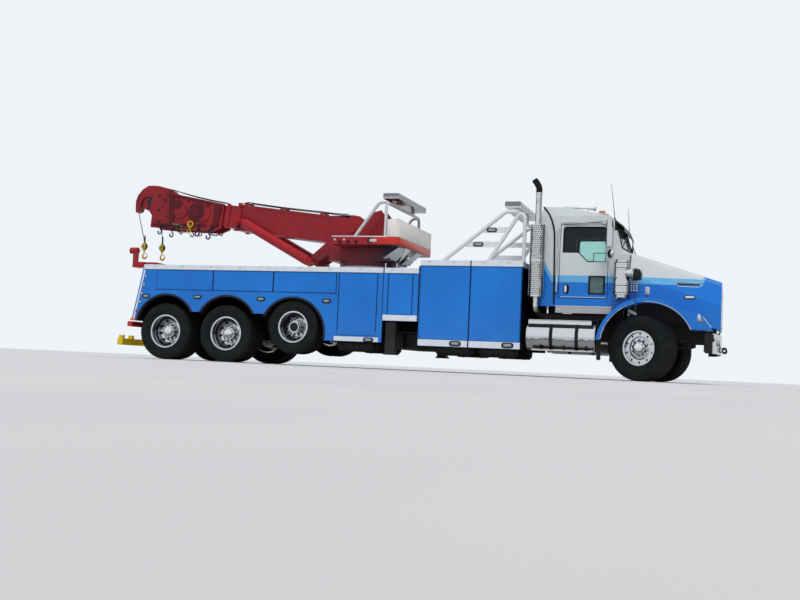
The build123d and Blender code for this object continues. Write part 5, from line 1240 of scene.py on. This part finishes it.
def hook_shape(piece, top, size):
    """A plain crane hook hanging from its eye."""
    top = Vector(top)
    line = [
        (0, 0), (0, -0.35), (0.18, -0.55), (0.2, -0.78), (0.02, -0.98), (-0.22, -0.92), (-0.3, -0.7),
        (-0.2, -0.6)]
    piece.tube([top + Vector((x * size, 0, z * size)) for x, z in line], size * 0.09, 8)
    piece.tube([top + Vector((c * size * 0.13, 0, s * size * 0.13 + size * 0.1)) for c, s in circle(10)],
               size * 0.045, 6, closed=True)


# along, up, size and piece of each loose hook
LOOSE = [
    (4.3, -0.44, 0.17, links), (3.8, -0.4, 0.15, green), (3.62, -0.35, 0.16, brass),
    (3.42, -0.36, 0.19, links),
    (3.12, -0.3, 0.14, links),
]
for hand in HANDS:
    y = hand * 0.235
    for at, up, size, target in LOOSE:
        hook_shape(target, on_boom(at, up, y), size)
    chain(links, sag(on_boom(4.25, -0.44, y), on_boom(3.85, -0.4, y), 0.05, 6))
    chain(links, sag(on_boom(3.42, -0.4, y), on_boom(3.08, -0.33, y), 0.08, 6))
    brass.tube([on_boom(3.6 + 0.06 * c, -0.32 + 0.06 * s, y + hand * 0.01) for c, s in circle(16)], 0.015, 8,
               closed=True)
    green.tube([on_boom(3.85, -0.36, y), on_boom(3.95, -0.37, y), on_boom(4.02, -0.36, y)], 0.022, 8)

# Each block: its body, its rope's top, and its own top
for body, top, x, y, z in (("hook_nose", (-5.9937, -0.05, 3.1004), -5.8, -0.05, 2.44),
                           ("hook_head", (-5.47, 0.05, 2.796), -5.43, 0.05, 2.42)):
    rope = Piece(f"{body}_rope", body, "cable", 60)
    rope.rod(top, (x, y, z - 0.01), 0.0075, 8)
    # the three wires laid round the rope, eight steps to a turn
    start, end, steps = Vector(top), Vector((x, y, z)), 72
    for k in range(3):
        turns = []
        for i in range(steps + 1):
            a = math.tau * (i / 8 + k / 3)
            turns.append(start.lerp(end, i / steps) + Vector((math.cos(a), math.sin(a), 0)) * 0.0045)
        rope.tube(turns, 0.0042, 5)
    rope.lathe((x, y, z + 0.16), (0, 0, -1), [(0, 0.01), (0.02, 0.015), (0.12, 0.018), (0.17, 0.02)], 12)
    block = Piece(f"{body}_block", body, "hook", replaces=[body])
    for hand in HANDS:
        block.prism([(x + 0.046 * c, y + hand * 0.028, z - 0.075 + 0.072 * s) for c, s in circle(20)],
                    (0, hand * 0.008, 0))
    block.box((x - 0.03, y - 0.03, z - 0.022), (x + 0.03, y + 0.03, z), 0.006)
    block.lathe((x, y, z - 0.14), (0, 0, -1), [(0, 0.03), (0.012, 0.034), (0.03, 0.03), (0.036, 0.018)], 20)
    # the hook's centre line below its swivel, with the radius at each point
    bend = [
        (0, 0.0, 0.012), (0, -0.075, 0.013), (-0.022, -0.105, 0.016), (-0.03, -0.135, 0.02),
        (-0.018, -0.168, 0.023), (0.012, -0.184, 0.024), (0.044, -0.176, 0.021), (0.066, -0.15, 0.016),
        (0.074, -0.118, 0.01), (0.08, -0.1, 0.005),
    ]
    loops = []
    for i, (dx, dz, r) in enumerate(bend):
        before, after = bend[max(0, i - 1)], bend[min(len(bend) - 1, i + 1)]
        along = Vector((after[0] - before[0], 0, after[1] - before[1])).normalized()
        flat = Vector((-along.z, 0, along.x))
        loops.append([Vector((x + dx, y, z - 0.15 + dz)) + flat * r * c + Vector((0, 0.75 * r * s, 0))
                      for c, s in circle(12)])
    block.skin(loops, cap=True)
    sheave = Piece(f"{body}_sheave", body, "dark_hook")
    sheave.lathe((x, y, z - 0.08), (0, 1, 0),
                 [(-0.026, 0.012), (-0.026, 0.062), (-0.018, 0.068), (-0.008, 0.054), (0.008, 0.054),
                  (0.018, 0.068), (0.026, 0.062), (0.026, 0.012)], 28)
    sheave.lathe((x, y, z - 0.08), (0, 1, 0),
                 [(-0.044, 0.01), (-0.041, 0.016), (0.041, 0.016), (0.044, 0.01)], 12)
    sheave.tube([(x + 0.078, y, z - 0.255), (x + 0.03, y, z - 0.225), (x, y, z - 0.215)], 0.005, 6)

# ---- winch ropes: the coil on each drum and the end that leaves it

rope = Piece("winch_rope", "turret", "cable", 60)
TURNS, STEPS = 16, 12
DRUM_X, DRUM_Y, DRUM_Z, COIL = -0.33, 0.53, 2.76, 0.121
for hand in HANDS:
    coil = []
    for i in range(TURNS * STEPS):
        a = math.tau * i / STEPS
        y = hand * DRUM_Y - 0.15 + 0.3 * i / (TURNS * STEPS)
        coil.append((DRUM_X + COIL * math.cos(a), y, DRUM_Z + COIL * math.sin(a)))
    rope.tube(coil, 0.0095, 5)
    rope.tube([(-0.4, hand * 0.45, 2.87), (-0.5, hand * 0.39, 2.905), (-0.58, hand * 0.345, 2.925)], 0.009, 6)
for piece in Piece.begun:
    piece.done()

# ---- floor, light and camera

bpy.ops.mesh.primitive_plane_add(size=240, location=(0, 0, -0.0005))
floor = bpy.context.object
floor.name = "floor"
ground = Graph("floor_pale", (0.68, 0.68, 0.68), 0.9)
blots = ground.ramp(ground.noise(0.5, 4), 0.3, 0.7)
ground.set("Base Color", ground.mix(blots, (0.66, 0.66, 0.665), (0.7, 0.7, 0.7)))
floor.data.materials.append(ground.made)

# the sky that lights the truck is dimmer than the one seen in glass, in chrome and behind it
world = bpy.data.worlds.new("studio")
bpy.context.scene.world = world
world.use_nodes = True
sky = Tree(world.node_tree)
rays = sky.new("ShaderNodeLightPath").outputs
seen = sky.math("MAXIMUM", rays["Is Camera Ray"], rays["Is Glossy Ray"])
seen = sky.math("MAXIMUM", seen, rays["Is Transmission Ray"])
lighting = sky.new("ShaderNodeBackground", {0: (0.9, 0.94, 1.0, 1), 1: 0.5})
shown = sky.new("ShaderNodeBackground", {0: (0.86, 0.9, 0.95, 1), 1: 1.0})
pick = sky.new("ShaderNodeMixShader", {0: seen, 1: lighting.outputs[0], 2: shown.outputs[0]})
sky.new("ShaderNodeOutputWorld", {0: pick.outputs[0]})

sun = bpy.data.lights.new("soft_sun", "SUN")
sun.energy, sun.angle, sun.color = 1.9, math.radians(28), (1.0, 0.985, 0.96)
holder = bpy.data.objects.new("soft_sun", sun)
holder.visible_glossy = False
holder.rotation_euler = Vector((-0.25, 0.75, -1.15)).to_track_quat("-Z", "Y").to_euler()
bpy.context.scene.collection.objects.link(holder)

camera = bpy.data.cameras.new("camera")
camera.sensor_width = 36
camera.lens = 46.387
camera.clip_end = 500
eye = bpy.data.objects.new("camera", camera)
right = Vector((0.9502306, 0.30821506, 0.04544547))
down = Vector((0.02350713, 0.07452364, -0.99694215))
ahead = Vector((-0.31065935, 0.94839322, 0.06356939))
turned = Matrix((right, -down, -ahead)).transposed().to_4x4()
eye.matrix_world = Matrix.Translation((6.19, -19.064, 0.0806)) @ turned
bpy.context.scene.collection.objects.link(eye)
bpy.context.scene.camera = eye
bpy.context.scene.view_settings.view_transform = "Standard"
